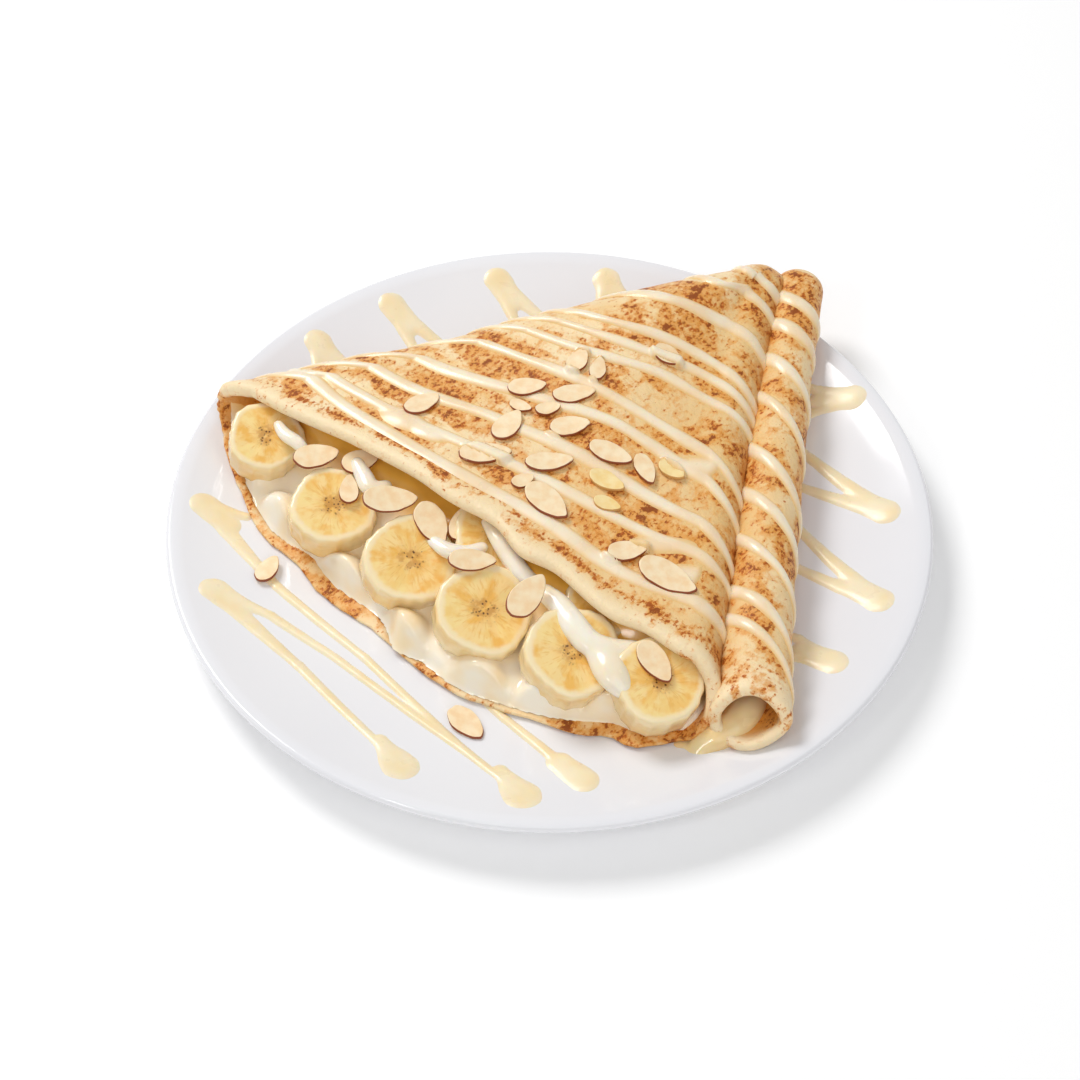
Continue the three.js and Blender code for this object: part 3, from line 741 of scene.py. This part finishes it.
def build_sheet(name, columns, place, marks):
    bm = shaped_grid(columns, SHEET_ROWS, place, marks)
    bmesh.ops.remove_doubles(bm, verts=bm.verts[:], dist=WELD)
    # The tip is pressed shut, and the pocket ends somewhere behind the filling
    open_edges = [edge for edge in bm.edges if edge.is_boundary]
    bmesh.ops.holes_fill(bm, edges=open_edges, sides=0)
    outward(bm)
    finish_piece(name, bm, CREPE, "crepe")


# Crepe wedge
WEDGE_SPACING = 0.94  # below 1 the rows lie closer together towards the mouth
POCKET_DEPTH = 75
SIDE_COLUMNS = (52, 26, 130, 26)
FLAP_SWELLS = 2.1
BOTTOM_THINS = -1.6


def around_at(u):
    column = u * sum(SIDE_COLUMNS)
    for side, count in enumerate(SIDE_COLUMNS):
        if column <= count:
            return side + column / count
        column -= count
    return 4


def on_flap(around):
    """1 on the upper layer and its folds, falling to 0 on the lower layer."""
    return band(around, 1, 0.6, 3.2, 0.6)


def frayed_mouth(around):
    frill = 0.9 * (1 - on_flap(around)) * ripple(around * 38, 4.1, 0.3)
    return mouth(around) + 1.1 * ripple(around * 7, 1.3, 2.2) + frill


def wedge_sheet(u, v):
    around = around_at(u)
    upper = on_flap(around)

    def point(distance, inset):
        return wedge_point(around, distance, inset)

    def thickness(back):
        """The sheet swells to a soft round lip where the flap ends and thins out below it."""
        return SHEET + lerp(BOTTOM_THINS, FLAP_SWELLS, upper) * bell(back, 6.5)

    edge = frayed_mouth(around)
    return sheet_place(v, TIP_START, edge, WEDGE_SPACING, POCKET_DEPTH, point, thickness, upper / 2)


def wedge_marks(u, v):
    """How far each kind of browning and of painted shade goes: the lower layer's edge is toasted most,
    the flap's edge stayed pale below a crease of brown spots, the half towards the right fold is more
    golden, the join with the second pocket is painted dark as shade, and the inner side is painted
    deep orange for the warm shade inside the folds."""
    around = around_at(u)
    upper = on_flap(around)
    below = 1 - smooth((around - 1) / 0.3) + smooth((around - 3.6) / 0.4)
    back = behind_lip(v, mouth(around) - TIP_START, WEDGE_SPACING, POCKET_DEPTH)
    rim = below * bell(back, 9)
    return {
        # painted shade on the inner side, weaker along the lower layer's toasted rim
        "inside": turned_in(v) * (1 - 0.8 * rim),
        "rim": rim,
        "lip": upper * bell(back, 3.6),
        "crease": outside(v) * upper * bell(back - 6.2, 2.6),
        "golden": band(around, 0.9, 0.3, 2.2, 0.5),
        # painted shade in the crevice where the second pocket lies against this fold
        "seam": outside(v) * band(around, 0.9, 0.2, 1.5, 0.3),
    }


build_sheet("crepe_wedge", sum(SIDE_COLUMNS), wedge_sheet, wedge_marks)


# Second pocket
ROLL_SPACING = 1.1
ROLL_START = 0.001 * ROLL_LENGTH
ROLL_DEPTH = 0.3 * ROLL_LENGTH
ROLL_COLUMNS = 64
ROLL_SWELLS = 1.2


def roll_sheet(u, v):
    turn = tau * u

    def point(distance, inset):
        return roll_point(turn, distance / ROLL_LENGTH, inset)

    def thickness(back):
        return SHEET + ROLL_SWELLS * bell(back, 6)

    edge = ROLL_LENGTH * (1 + 0.004 * sin(3 * turn))
    return sheet_place(v, ROLL_START, edge, ROLL_SPACING, ROLL_DEPTH, point, thickness, 0.5)


def roll_marks(u, v):
    """More brown on the side towards the wedge than on the far side and at the mouth. Painted shade
    darkens a band along its join with the wedge and colours its inner side deep orange.
    """
    turn = tau * u
    back = behind_lip(v, ROLL_LENGTH, ROLL_SPACING, ROLL_DEPTH)
    towards = 0.4 + smooth((turn - 1) / 1.4)
    return {
        # painted shade on the inner side of the pocket
        "inside": turned_in(v),
        "lip": bell(back, 8 if outside(v) else 2.5),
        "golden": towards * (1 - 0.6 * smooth((v / OUTSIDE_SHARE - 0.8) / 0.2)),
        # painted shade on the side of the pocket that lies against the wedge
        "seam": outside(v) * band(turn, 2.5, 0.6, 4.2, 0.5),
    }


build_sheet("crepe_roll", ROLL_COLUMNS, roll_sheet, roll_marks)


# Drizzle over the wedge: (across the flap, distance from the tip) along each line.
# Below 0 and above 1 a line runs on over the left and the right fold.
WEDGE_LINES = (
    (1.7, ((-0.3, 20), (0.5, 18), (1.1, 18), (1.5, 21))),
    (1.9, ((-0.3, 38), (0.18, 31), (0.51, 28), (1.06, 27.5), (1.5, 33))),
    (2.5, ((-0.3, 72), (-0.02, 56.8), (0.48, 48), (1.04, 45.6), (1.5, 54))),
    (1.8, ((-0.3, 94), (0.34, 70.4), (0.89, 64.8), (1.37, 74.4), (1.5, 78))),
    (1.7, ((-0.3, 109), (0.07, 88.8), (0.45, 77.6), (0.86, 72), (1.33, 79.2), (1.5, 84))),
    (1.8, ((-0.3, 120), (0.12, 98.4), (0.58, 82.4), (0.94, 82.4), (1.42, 88), (1.5, 90))),
    (1.9, ((-0.3, 142), (0.15, 112), (0.46, 102.4), (0.9, 103.2), (1.35, 116.8), (1.5, 121))),
    (2.1, ((-0.3, 166), (0.07, 138.4), (0.33, 120), (0.7, 110.4), (1.34, 128), (1.5, 133))),
    (2.1, ((-0.3, 182), (0.09, 153.6), (0.33, 136.8), (0.68, 129.6), (1.39, 146.4), (1.5, 150))),
    (1.9, ((-0.13, 186), (0.16, 164), (0.47, 148), (0.76, 145.6), (1.49, 158))),
    (2.3, ((-0.3, 197), (0.07, 178.4), (0.28, 168), (0.61, 160), (0.88, 166.4), (1.5, 174))),
)
# Where lines run together: across, distance, half length, half width, height
WEDGE_POOLS = (
    (0.2, 162.4, 11, 5.5, 1.2),
    (0.27, 159.2, 9, 4, 1),
    (0.98, 112, 16, 5, 0.75),
    (0.98, 160, 16, 5.5, 0.8),
    (0.92, 149.6, 14, 4, 0.65),
)
FILM_HEIGHT = 0.9
FILM_SPREAD = 1.45
FILM_REACH = 9  # a line is felt this far beside its middle


def line_height(off, half, wobble):
    """Height of a line of drizzle beside its middle."""
    wide = FILM_SPREAD * half * (1 + wobble)
    return FILM_HEIGHT * (1 - (off / wide) ** 2)


def run_together(heights):
    return blended(heights, 0.18) - 0.05 if heights else -1


def wedge_film_height(across, distance):
    arc = SPREAD * distance
    step = 0.01
    heights = []
    for half, path in WEDGE_LINES:
        here = through(path, across)
        if abs(here - distance) <= FILM_REACH:
            slope = (through(path, across + step) - here) / (step * arc)
            off = (distance - here) * cos(atan(slope))
            heights.append(line_height(off, half, 0.22 * ripple(across * 5, here / 20, 1)))
    for middle, reach, long, wide, height in WEDGE_POOLS:
        along = (across - middle) * arc
        back = distance - reach + along * 0.25
        heights.append(height * (1 - (along / long) ** 2 - (back / wide) ** 2))
    return run_together([height for height in heights if height > -3])


# Bands over the second pocket: half width, and the share of the pocket's length at which a band
# starts on the inner side and ends on the outer side
ROLL_BANDS = (
    (1.9, 0.07, 0.165), (1.8, 0.14, 0.24), (1.9, 0.215, 0.37), (1.7, 0.3, 0.5), (1.9, 0.425, 0.63),
    (1.9, 0.53, 0.71), (1.7, 0.63, 0.82), (1.8, 0.75, 0.92), (1.6, 0.81, 0.985),
)
ROLL_INNER = 3.3  # angles round the pocket between which the bands lie
ROLL_OUTER = -0.5
BAND_ENDS = (0.03, 0.99)
BAND_SLOPE = 0.75  # a band's own width, as a share of its width along the pocket


def build_roll_drizzle():
    def height(u, v):
        part = lerp(*BAND_ENDS, v)
        heights = []
        for half, start, end in ROLL_BANDS:
            off = (part - lerp(start, end, u**1.15)) * ROLL_LENGTH * BAND_SLOPE
            if abs(off) < FILM_REACH:
                heights.append(line_height(off, half, 0.2 * ripple(u * 5, start * 40, 2)))
        return run_together(heights) - 1.2 * smooth((u - 0.86) / 0.14)

    def place(u, v, rise):
        return roll_skin(lerp(ROLL_INNER, ROLL_OUTER, u), lerp(*BAND_ENDS, v), rise)

    bm = film(70, 300, place, height)
    outward(bm)
    finish_piece("roll_drizzle", bm, MILK_ON_CREPE, "crepe")


build_roll_drizzle()


# Banana slices: place across the spread and out from the tip, radius, height and lean
SLICES = (
    (0.112, 203, 13.3, 22.4, 19),
    (0.29, 197, 14.8, 20.9, 14),
    (0.453, 192, 15.8, 21.4, 20),
    (0.605, 193, 16, 21.4, 21),
    (0.76, 194, 15.8, 21.4, 20),
    (0.895, 195, 15, 20.6, 18),
    (0.53, 167, 14.5, 22.8, 14),
    (0.77, 170, 14.5, 21.8, 14),
)
SLICE_STEPS = 96
FACET_DEPTH = 0.5  # the flats that peeling leaves round a slice


def slice_frame(number):
    across, out, radius, high, lean = SLICES[number]
    turn = LEFT_FOLD + across * SPREAD
    middle = Vector((TIP[0] + out * cos(turn), TIP[1] + out * sin(turn), high))
    tilt = radians(lean)
    flat = sin(tilt)
    face = Vector((flat * cos(LEAN_TO), flat * sin(LEAN_TO), cos(tilt)))
    right = Vector((0, 1, 0)).cross(face).normalized()
    back = face.cross(right)
    return middle, face, right, back


def build_slice(number):
    radius = SLICES[number][2]
    half = SLICE_THICKNESS / 2
    outline = [(0, -half), (radius * 0.5, -half), (radius - 1.2, -half), (radius - 0.3, -half + 0.6)]
    outline += [(radius, -half + z) for z in (1.6, 3.4, 5.2, 7, 8.8, 10.6)]
    outline += [(radius - 0.25, half - 0.7), (radius - 0.8, half - 0.2), (radius - 1.5, half)]
    for share in (0.84, 0.77, 0.7, 0.62, 0.54, 0.46, 0.38, 0.3, 0.23, 0.16, 0.1, 0.05, 0):
        outline.append((radius * share, half))
    bm = turned(outline, SLICE_STEPS)
    wall = bm.verts.layers.float.new("wall")
    face_map = bm.loops.layers.uv.new("face")
    for bmface in bm.faces:
        for loop in bmface.loops:
            loop[face_map].uv = (loop.vert.co.x / radius, loop.vert.co.y / radius)
    middle, face, right, back = slice_frame(number)
    for vert in bm.verts:
        across, height = hypot(vert.co.x, vert.co.y), vert.co.z
        turn = atan2(vert.co.y, vert.co.x)
        share = across / radius
        vert[wall] = smooth((half - 0.35 - height) / 0.5)
        lobes = 1 + 0.03 * cos(3 * turn + number) + 0.02 * cos(5 * turn + 2 * number)
        facet_turn = 9 * turn + number + 0.9 * sin(2 * turn + number)
        facets = FACET_DEPTH * abs(sin(facet_turn)) * smooth((share - 0.9) / 0.1)
        across = across * lobes - facets + 0.2 * ripple(turn * 3, height / 3, number)
        heading = Vector((cos(turn), sin(turn), number * 3.7))
        dish = 0.22 * noise.noise(heading * 2.6) * sin(pi * clamp(share * 1.1))
        dish -= 0.25 * bell(share, 0.16)
        height += dish if height > 0 else 0
        vert.co = middle + right * (across * cos(turn)) + back * (across * sin(turn))
        vert.co += face * height
    name = f"banana_slice_{number + 1}"
    finish_piece(f"{name}_cut", bm, BANANA, name)


for number in range(len(SLICES)):
    build_slice(number)


# Almond flakes: on the flap by (across, distance, length, turn, half width as a share of the
# length), on a slice by (slice, right, back, ...) and on the plate by (x, y, lift, ...)
FLAP_FLAKES = (
    (0.18, 153.6, 14, 36, 0.27), (0.378, 136.8, 15, 59, 0.28), (0.282, 99.2, 10.5, 62, 0.32),
    (0.378, 96.8, 10, 79, 0.27), (0.564, 74.4, 11, -34, 0.33), (0.282, 120, 13.5, 5, 0.28),
    (0.414, 110.4, 15, 10, 0.24), (0.342, 127.5, 8.5, -30, 0.26), (0.51, 122.4, 14, 13, 0.29),
    (0.678, 123.2, 16, -27, 0.25), (0.414, 151.2, 18, 7, 0.25),
    (0.552, 139.2, 16.5, 10, 0.24), (0.624, 153.6, 19, -51, 0.26),
    (0.8, 122.8, 13.5, -72, 0.23), (0.718, 134.2, 13.5, -35, 0.26),
    (0.88, 118.5, 10.5, -44, 0.3), (0.752, 143, 9.5, -22, 0.28), (0.846, 157.6, 14, 18, 0.27),
    (0.948, 162.4, 21, -32, 0.25), (0.406, 121.6, 9, 14, 0.29), (0.54, 151.5, 8.5, 30, 0.3),
)
SLICE_FLAKES = (
    (1, -7.1, 17.5, 16, 17, 0.27), (1, 7.8, 17, 13.5, 25, 0.3), (1, 4.9, 5.4, 11.5, 92, 0.27),
    (2, -8.8, 19.6, 18.5, 5, 0.25), (2, 5.8, 12.5, 17, -62, 0.29),
    (2, 14.6, 13.6, 12, 78, 0.24), (3, -5.6, 15.7, 16, 3, 0.23),
    (4, -16.3, 16.2, 18, 57, 0.26), (5, -2, 5.2, 16, -55, 0.27),
)
PLATE_FLAKES = ((-94.5, -23, 1.3, 12, 66, 0.28), (-26, -85, 0.6, 15, -48, 0.28))
BARE_FLAKES = (14, 15, 16)
DRAPED_FLAKES = (2, 3, 4, 8, 10, 15, 17)  # lines of drizzle run on over these
FLAKE_SETTLE = 0.4
FLAKE_STEPS = 44
FLAKE_BULGE = 0.24  # its blunt end is this much wider and its sharp end narrower


def wedge_up(around, distance):
    at = wedge_point(around, distance)
    along = wedge_point(around, distance + 1) - at
    sideways = wedge_point(around + 0.01, distance) - at
    return sideways.cross(along).normalized()


def flake_seat(at, up, length, turn, wide):
    """Where a flake lies: its middle, its own three directions, its length and its width."""
    up = (up + 0.1 * noise.noise_vector(at / 7)).normalized()
    ahead = Vector((cos(radians(turn)), sin(radians(turn)), 0))
    side = up.cross(ahead).normalized()
    return at, side.cross(up), side, up, length, wide


def flake_seats():
    """The seat of every flake, in the order of their nodes."""
    seats = []
    for across, out, length, turn, wide in FLAP_FLAKES:
        up = wedge_up(3 - across, out)
        at = wedge_skin(3 - across, out) + up * (FLAKE_SETTLE + FLAKE_THICKNESS / 2)
        seats.append(flake_seat(at, up, length, turn, wide))
    for number, right_by, back_by, length, turn, wide in SLICE_FLAKES:
        middle, face, right, back = slice_frame(number)
        at = middle + right * right_by + back * back_by
        at += face * (SLICE_THICKNESS / 2 + GAP + FLAKE_THICKNESS / 2)
        seats.append(flake_seat(at, face, length, turn, wide))
    for x, y, lift, length, turn, wide in PLATE_FLAKES:
        at = Vector((x, y, plate_top(x, y) + lift + FLAKE_THICKNESS / 2))
        seats.append(flake_seat(at, Vector((0, 0, 1)), length, turn, wide))
    return seats


def flake_bend(index, x, y, length):
    """How far a flake curls up at a place of its own plane."""
    bend = 0.5 + 0.5 * ripple(index * 3.1, 9.3, 0.7)
    curl = bend * 0.9 * (2 * x / length) ** 2 - 0.25 * bend
    return curl + 0.12 * ripple(x / 2.5, y / 2.5, index)


def build_flake(index, seat):
    at, ahead, side, up, length, wide = seat
    half = FLAKE_THICKNESS / 2
    outline = [(0, -half), (0.7, -half), (0.92, -0.9 * half), (0.985, -0.5 * half), (1, 0)]
    outline += [(0.99, 0.5 * half), (0.965, 0.85 * half)]
    outline += [(share, half) for share in (0.94, 0.92, 0.86, 0.7, 0.5, 0.3, 0.12, 0)]
    bm = turned(outline, FLAKE_STEPS)
    skin = bm.verts.layers.float.new("skin")
    for vert in bm.verts:
        share = hypot(vert.co.x, vert.co.y)
        angle = atan2(vert.co.y, vert.co.x)
        bulge = 1 - FLAKE_BULGE * cos(angle) - 0.05 * cos(2 * angle)
        ragged = 1 + 0.05 * ripple(angle * 2, index, 0)
        x = share * length / 2 * cos(angle) * ragged
        y = share * length * wide * sin(angle) * bulge * ragged
        z = vert.co.z + flake_bend(index, x, y, length)
        vert.co = at + ahead * x + side * y + up * z
        near_side = 0.5 - 0.5 * (vert.co - at).normalized().y if share > 0 else 0
        skin_start = lerp(0.985, 0.925, smooth(near_side * 1.6 - 0.3))
        vert[skin] = smooth((share - skin_start) / 0.015)
    name = f"almond_flake_{index + 1:02d}"
    material = BLANCHED if index in BARE_FLAKES else ALMOND
    finish_piece(f"{name}_cut", bm, material, name)


SEATS = flake_seats()
for index, seat in enumerate(SEATS):
    build_flake(index, seat)


def lift_over_flakes(place):
    """How far drizzle at this place of the flap is lifted by a flake that it runs over."""
    lift = 0
    for index in DRAPED_FLAKES:
        at, ahead, side, up, length, wide = SEATS[index]
        away = place - at
        if away.length > length:
            continue
        x = away.dot(ahead)
        y = away.dot(side)
        share = hypot(2 * x / length, y / (length * wide))
        top = FLAKE_SETTLE + FLAKE_THICKNESS + 0.1 + flake_bend(index, x, y, length)
        lift = max(lift, top * (1 - smooth((share - 1) / 0.3)))
    return lift


FLAP_SPAN = (-0.5, 1.5)  # across the flap, from down the left fold to down the right one
FILM_START = 8  # from the tip
LINE_ENDS = -0.44  # across, where the lines end on the left fold


def build_wedge_drizzle():
    def height(u, v):
        across = lerp(*FLAP_SPAN, u)
        edge = mouth(3 - across)
        distance = lerp(FILM_START, edge, v)
        lip = 1 - smooth((distance - edge + 5) / 4)
        end = LINE_ENDS + 0.06 * ripple(distance / 11, 0, 3)
        past = max(end - across, 0) * SPREAD * distance / 4.5
        return wedge_film_height(across, distance) * lip - (1 - lip) * 0.5 - past * past

    def place(u, v, rise):
        around = 3 - lerp(*FLAP_SPAN, u)
        distance = lerp(FILM_START, mouth(around), v)
        lift = lift_over_flakes(wedge_skin(around, distance)) if rise > 0 else 0
        return wedge_skin(around, distance, rise + lift)

    bm = film(300, 280, place, height)
    outward(bm)
    finish_piece("wedge_drizzle", bm, MILK_ON_CREPE, "crepe")


build_wedge_drizzle()


# Cream bed between the layers: deep under the flap, and out over the bottom layer in front.
# The bare rim of the bottom layer is this wide: (around, width)
BARE_RIM = ((0, 5), (0.2, 5), (0.3, 6), (0.42, 6.5), (0.48, 5.5), (0.525, 1.2), (0.57, 3.8),
            (0.61, 3.6), (0.645, 2.6), (0.7, 3.4), (0.78, 4.2), (0.87, 6), (1, 5))
# Drops that swell between the slices: across, distance, half width, height over the sheet
CREAM_DROPS = ((0.13, 209, 8, 7), (0.22, 208, 10.5, 10), (0.375, 206.5, 12.5, 10.5),
               (0.51, 208, 11.5, 10.5), (0.645, 208, 12.5, 9.5), (0.75, 206, 12, 9.5),
               (0.84, 201, 11, 9.5), (0.93, 195, 9, 8))
BED_SPAN = (154, 217)  # distances from the tip between which the cream lies
BED_TOP = 28.5
SHOULDER = 8  # the cream rises this steeply behind its edge: width and height
SHOULDER_RISE = 4


def inside_span(along, distance):
    """For a place in the wedge: which around of wedge_point lies below it, and the heights
    between which the wedge is hollow there."""
    left, left_middle, right, right_middle, left_top, right_top = section(distance)
    low = plate_top(*on_plan(along, distance)) + GAP + SHEET
    around = (along - left_middle) / (right_middle - left_middle)
    fold, off = left - SHEET, left_middle - along
    if along > right_middle:
        fold, off = right - SHEET, along - right_middle
    if off < 0:
        return around, low, low + 2 * fold
    share = clamp(off / fold)
    round_off = fold * sqrt(1 - share * share)
    turned_up = asin(share) / pi
    around = 1 + turned_up if along > right_middle else -turned_up
    return around, low + fold - round_off, low + fold + round_off


def bed_rise(across, along, distance, around):
    """Height of the cream over the sheet; below 0 there is none."""
    inward = mouth(around) - through(BARE_RIM, clamp(around)) - distance
    if inward < -6:
        return -3
    shoulder = clamp(inward / SHOULDER)
    edge = SHOULDER_RISE * sqrt(1 - (1 - shoulder) ** 2) if inward > 0 else inward
    flap = flap_edge(clamp(across))
    under = smooth((inward - SHOULDER) / max(mouth(around) - flap - SHOULDER, 6))
    x, y = on_plan(along, distance)
    wave = 1.4 * ripple(x / 12, y / 12, 6)
    full = BED_TOP - plate_top(x, y) - GAP - SHEET
    heights = [edge + (full - SHOULDER_RISE) * under + wave * shoulder]
    for where, reach, wide, tall in CREAM_DROPS:
        off = (across - where) * SPREAD * distance
        share = 1 - (off / wide) ** 2 - ((distance - reach) / (wide * 0.8)) ** 2
        if share > -0.6:
            heights.append(min(tall * share, 3 * inward + 3))
    return blended(heights, 0.6)


def soften(piece, factor, times):
    modifier = piece.modifiers.new("soften", "SMOOTH")
    modifier.factor = factor
    modifier.iterations = times


def build_cream_bed():
    def spot(u, v):
        across = lerp(0.005, 0.995, u)
        distance = lerp(*BED_SPAN, v)
        return across, across * SPREAD * distance, distance

    def height(u, v):
        across, along, distance = spot(u, v)
        around = inside_span(along, distance)[0]
        return bed_rise(across, along, distance, around)

    def place(u, v, rise):
        across, along, distance = spot(u, v)
        around, low, high = inside_span(along, distance)
        x, y = on_plan(along, distance)
        z = max(plate_top(x, y) + GAP + SHEET + rise, low - 1.2)
        return Vector((x, y, min(z, high - 1)))

    def under(u, v):
        """1 deep under the flap, where the cream lies in shade and is painted a golden tone for that
        shade.
        """
        across, along, distance = spot(u, v)
        return smooth((flap_edge(clamp(across)) + 15 - distance) / 13)

    bm = film(300, 100, place, height, -2, under)
    outward(bm)
    piece = finish_piece("cream_bed", bm, CREAM, "cream_filling")
    soften(piece, 0.5, 8)


build_cream_bed()


# Poured strands: beads of falling size along a path, run together
STRANDS = (
    (((-20, -20, 33), (-16.5, -27, 33), (-13, -33, 31.5), (-9, -39, 30.5), (-4.5, -43.5, 29.5)), 3.4),
    (((-1.3, -48.4, 31.5), (3, -53, 31.5), (7.4, -60.7, 31.5), (12.5, -67.5, 30.5),
      (19, -70, 30), (28, -69.5, 29)), 4.4),
    (((15, -70, 30.5), (17.5, -73, 29.5), (20, -78.5, 29), (23, -82.5, 27.5)), 5.4),
    (((-93, 24, 32.5), (-90.5, 20, 32), (-86, 16.5, 31.5), (-82.5, 12.5, 30)), 2.6),
    (((-65, 7, 32), (-62.5, 2, 31), (-59.5, -3.5, 30.5), (-55, -2, 30.5)), 3.2),
    (((-38, -26, 30), (-33, -30, 30), (-27, -31, 30), (-22, -29, 30.5)), 3),
)
STRAND_SINKS = 0.45  # of its radius, into what it lies on
SPILL = ((66, -60, 14), (64, -78, 14.5), (60, -87, 15), (55, -91, 14), (50, -93, 11.5), (47.5, -95, 9.5))
SPILL_RADIUS = 5.6
SPILL_SINKS = 1
# The pool that it runs into: place, half width and half height of each bead
POOL = (((48, -95.5, 8.2), 8, 2.2), ((42.5, -94.5, 8), 5, 1.8), ((54, -94, 8.4), 6, 2.6))
BEAD_STEP = 1.2
VOXEL = 0.55


def path_points(points):
    """Evenly spread points of a smooth path through the given ones."""
    length = 0
    marks = [0]
    for start, end in zip(points, points[1:]):
        length += dist(start, end)
        marks.append(length)
    count = max(2, round(length / BEAD_STEP))
    tracks = [list(zip(marks, [point[axis] for point in points])) for axis in range(3)]
    return [Vector([through(track, length * i / count) for track in tracks]) for i in range(count + 1)]


def lowered(points, by):
    return [(x, y, z - by) for x, y, z in points]


def pour(name, strands, beads, material, node):
    bm = bmesh.new()

    def bead(at, wide, tall):
        ball = bmesh.ops.create_icosphere(bm, subdivisions=2, radius=1)["verts"]
        bmesh.ops.scale(bm, verts=ball, vec=(wide, wide, tall))
        bmesh.ops.translate(bm, verts=ball, vec=at)

    for points, radius in strands:
        spots = path_points(points)
        for i, at in enumerate(spots):
            part = i / (len(spots) - 1)
            wide = radius * (0.8 + 0.3 * sin(pi * part))
            bead(at, wide, wide * 0.75)
    for at, wide, tall in beads:
        bead(Vector(at), wide, tall)
    piece = finish_piece(name, bm, material, node)
    remesh = piece.modifiers.new("run_together", "REMESH")
    remesh.mode = "VOXEL"
    remesh.voxel_size = VOXEL * MM
    remesh.use_smooth_shade = True
    soften(piece, 0.6, 14)


sunk = [(lowered(points, radius * STRAND_SINKS), radius) for points, radius in STRANDS]
pour("poured_strands", sunk, (), STRAND, "cream_filling")
pour("cream_spill_run", [(lowered(SPILL, SPILL_SINKS), SPILL_RADIUS)], POOL, SPILL_MILK, "cream_spill")


# Floor, light and camera
FLOOR_HALF = 6
FLOOR_GLOW = 0.085  # keeps the floor nearly white and leaves the shadow of the plate
WORLD_LIGHT = 0.44
SOFTBOXES = (  # name, place, size in metres and power in watts
    ("key", (-0.7, 0.75, 1.25), 0.7, 13.5),
    ("fill", (0.3, -1.1, 1.2), 1.6, 6.8),
    ("glint", (-0.65, -0.75, 0.95), 0.2, 1.2),
)
LIGHT_AIM = (0, 0, 0.02)
SENSOR = 36
# Where the photo was taken from, solved from the plate's outline in it
LENS = 72.188
CAMERA_PLACE = (0, -489.634, 568.117)
CAMERA_AIM = (-3.187, -0.566, 0)


def look_at(thing, place, aim):
    thing.location = place
    thing.rotation_euler = (Vector(aim) - Vector(place)).to_track_quat("-Z", "Y").to_euler()


def build_floor():
    bm = bmesh.new()
    bmesh.ops.create_grid(bm, x_segments=1, y_segments=1, size=FLOOR_HALF)
    mesh = bpy.data.meshes.new("floor")
    bm.to_mesh(mesh)
    bm.free()
    made = Finish("pale_floor", Roughness=0.9, Emission_Strength=FLOOR_GLOW)
    made.set("Base Color", (0.95, 0.95, 0.95, 1))
    made.set("Emission Color", (1, 1, 1, 1))
    mesh.materials.append(made.material)
    add_to_scene("floor", mesh)


def build_lights():
    world = bpy.data.worlds.new("studio")
    world.use_nodes = True
    background = world.node_tree.nodes["Background"]
    background.inputs["Color"].default_value = (1, 1, 1, 1)
    background.inputs["Strength"].default_value = WORLD_LIGHT
    bpy.context.scene.world = world
    for name, place, size, power in SOFTBOXES:
        light = bpy.data.lights.new(name, "AREA")
        light.shape = "DISK"
        light.size = size
        light.energy = power
        look_at(add_to_scene(name, light), place, LIGHT_AIM)


def build_camera():
    camera = bpy.data.cameras.new("camera")
    camera.sensor_width = SENSOR
    camera.lens = LENS
    seen = add_to_scene("camera", camera)
    look_at(seen, Vector(CAMERA_PLACE) * MM, Vector(CAMERA_AIM) * MM)
    bpy.context.scene.camera = seen
    bpy.context.scene.view_settings.view_transform = "Standard"


build_floor()
build_lights()
build_camera()
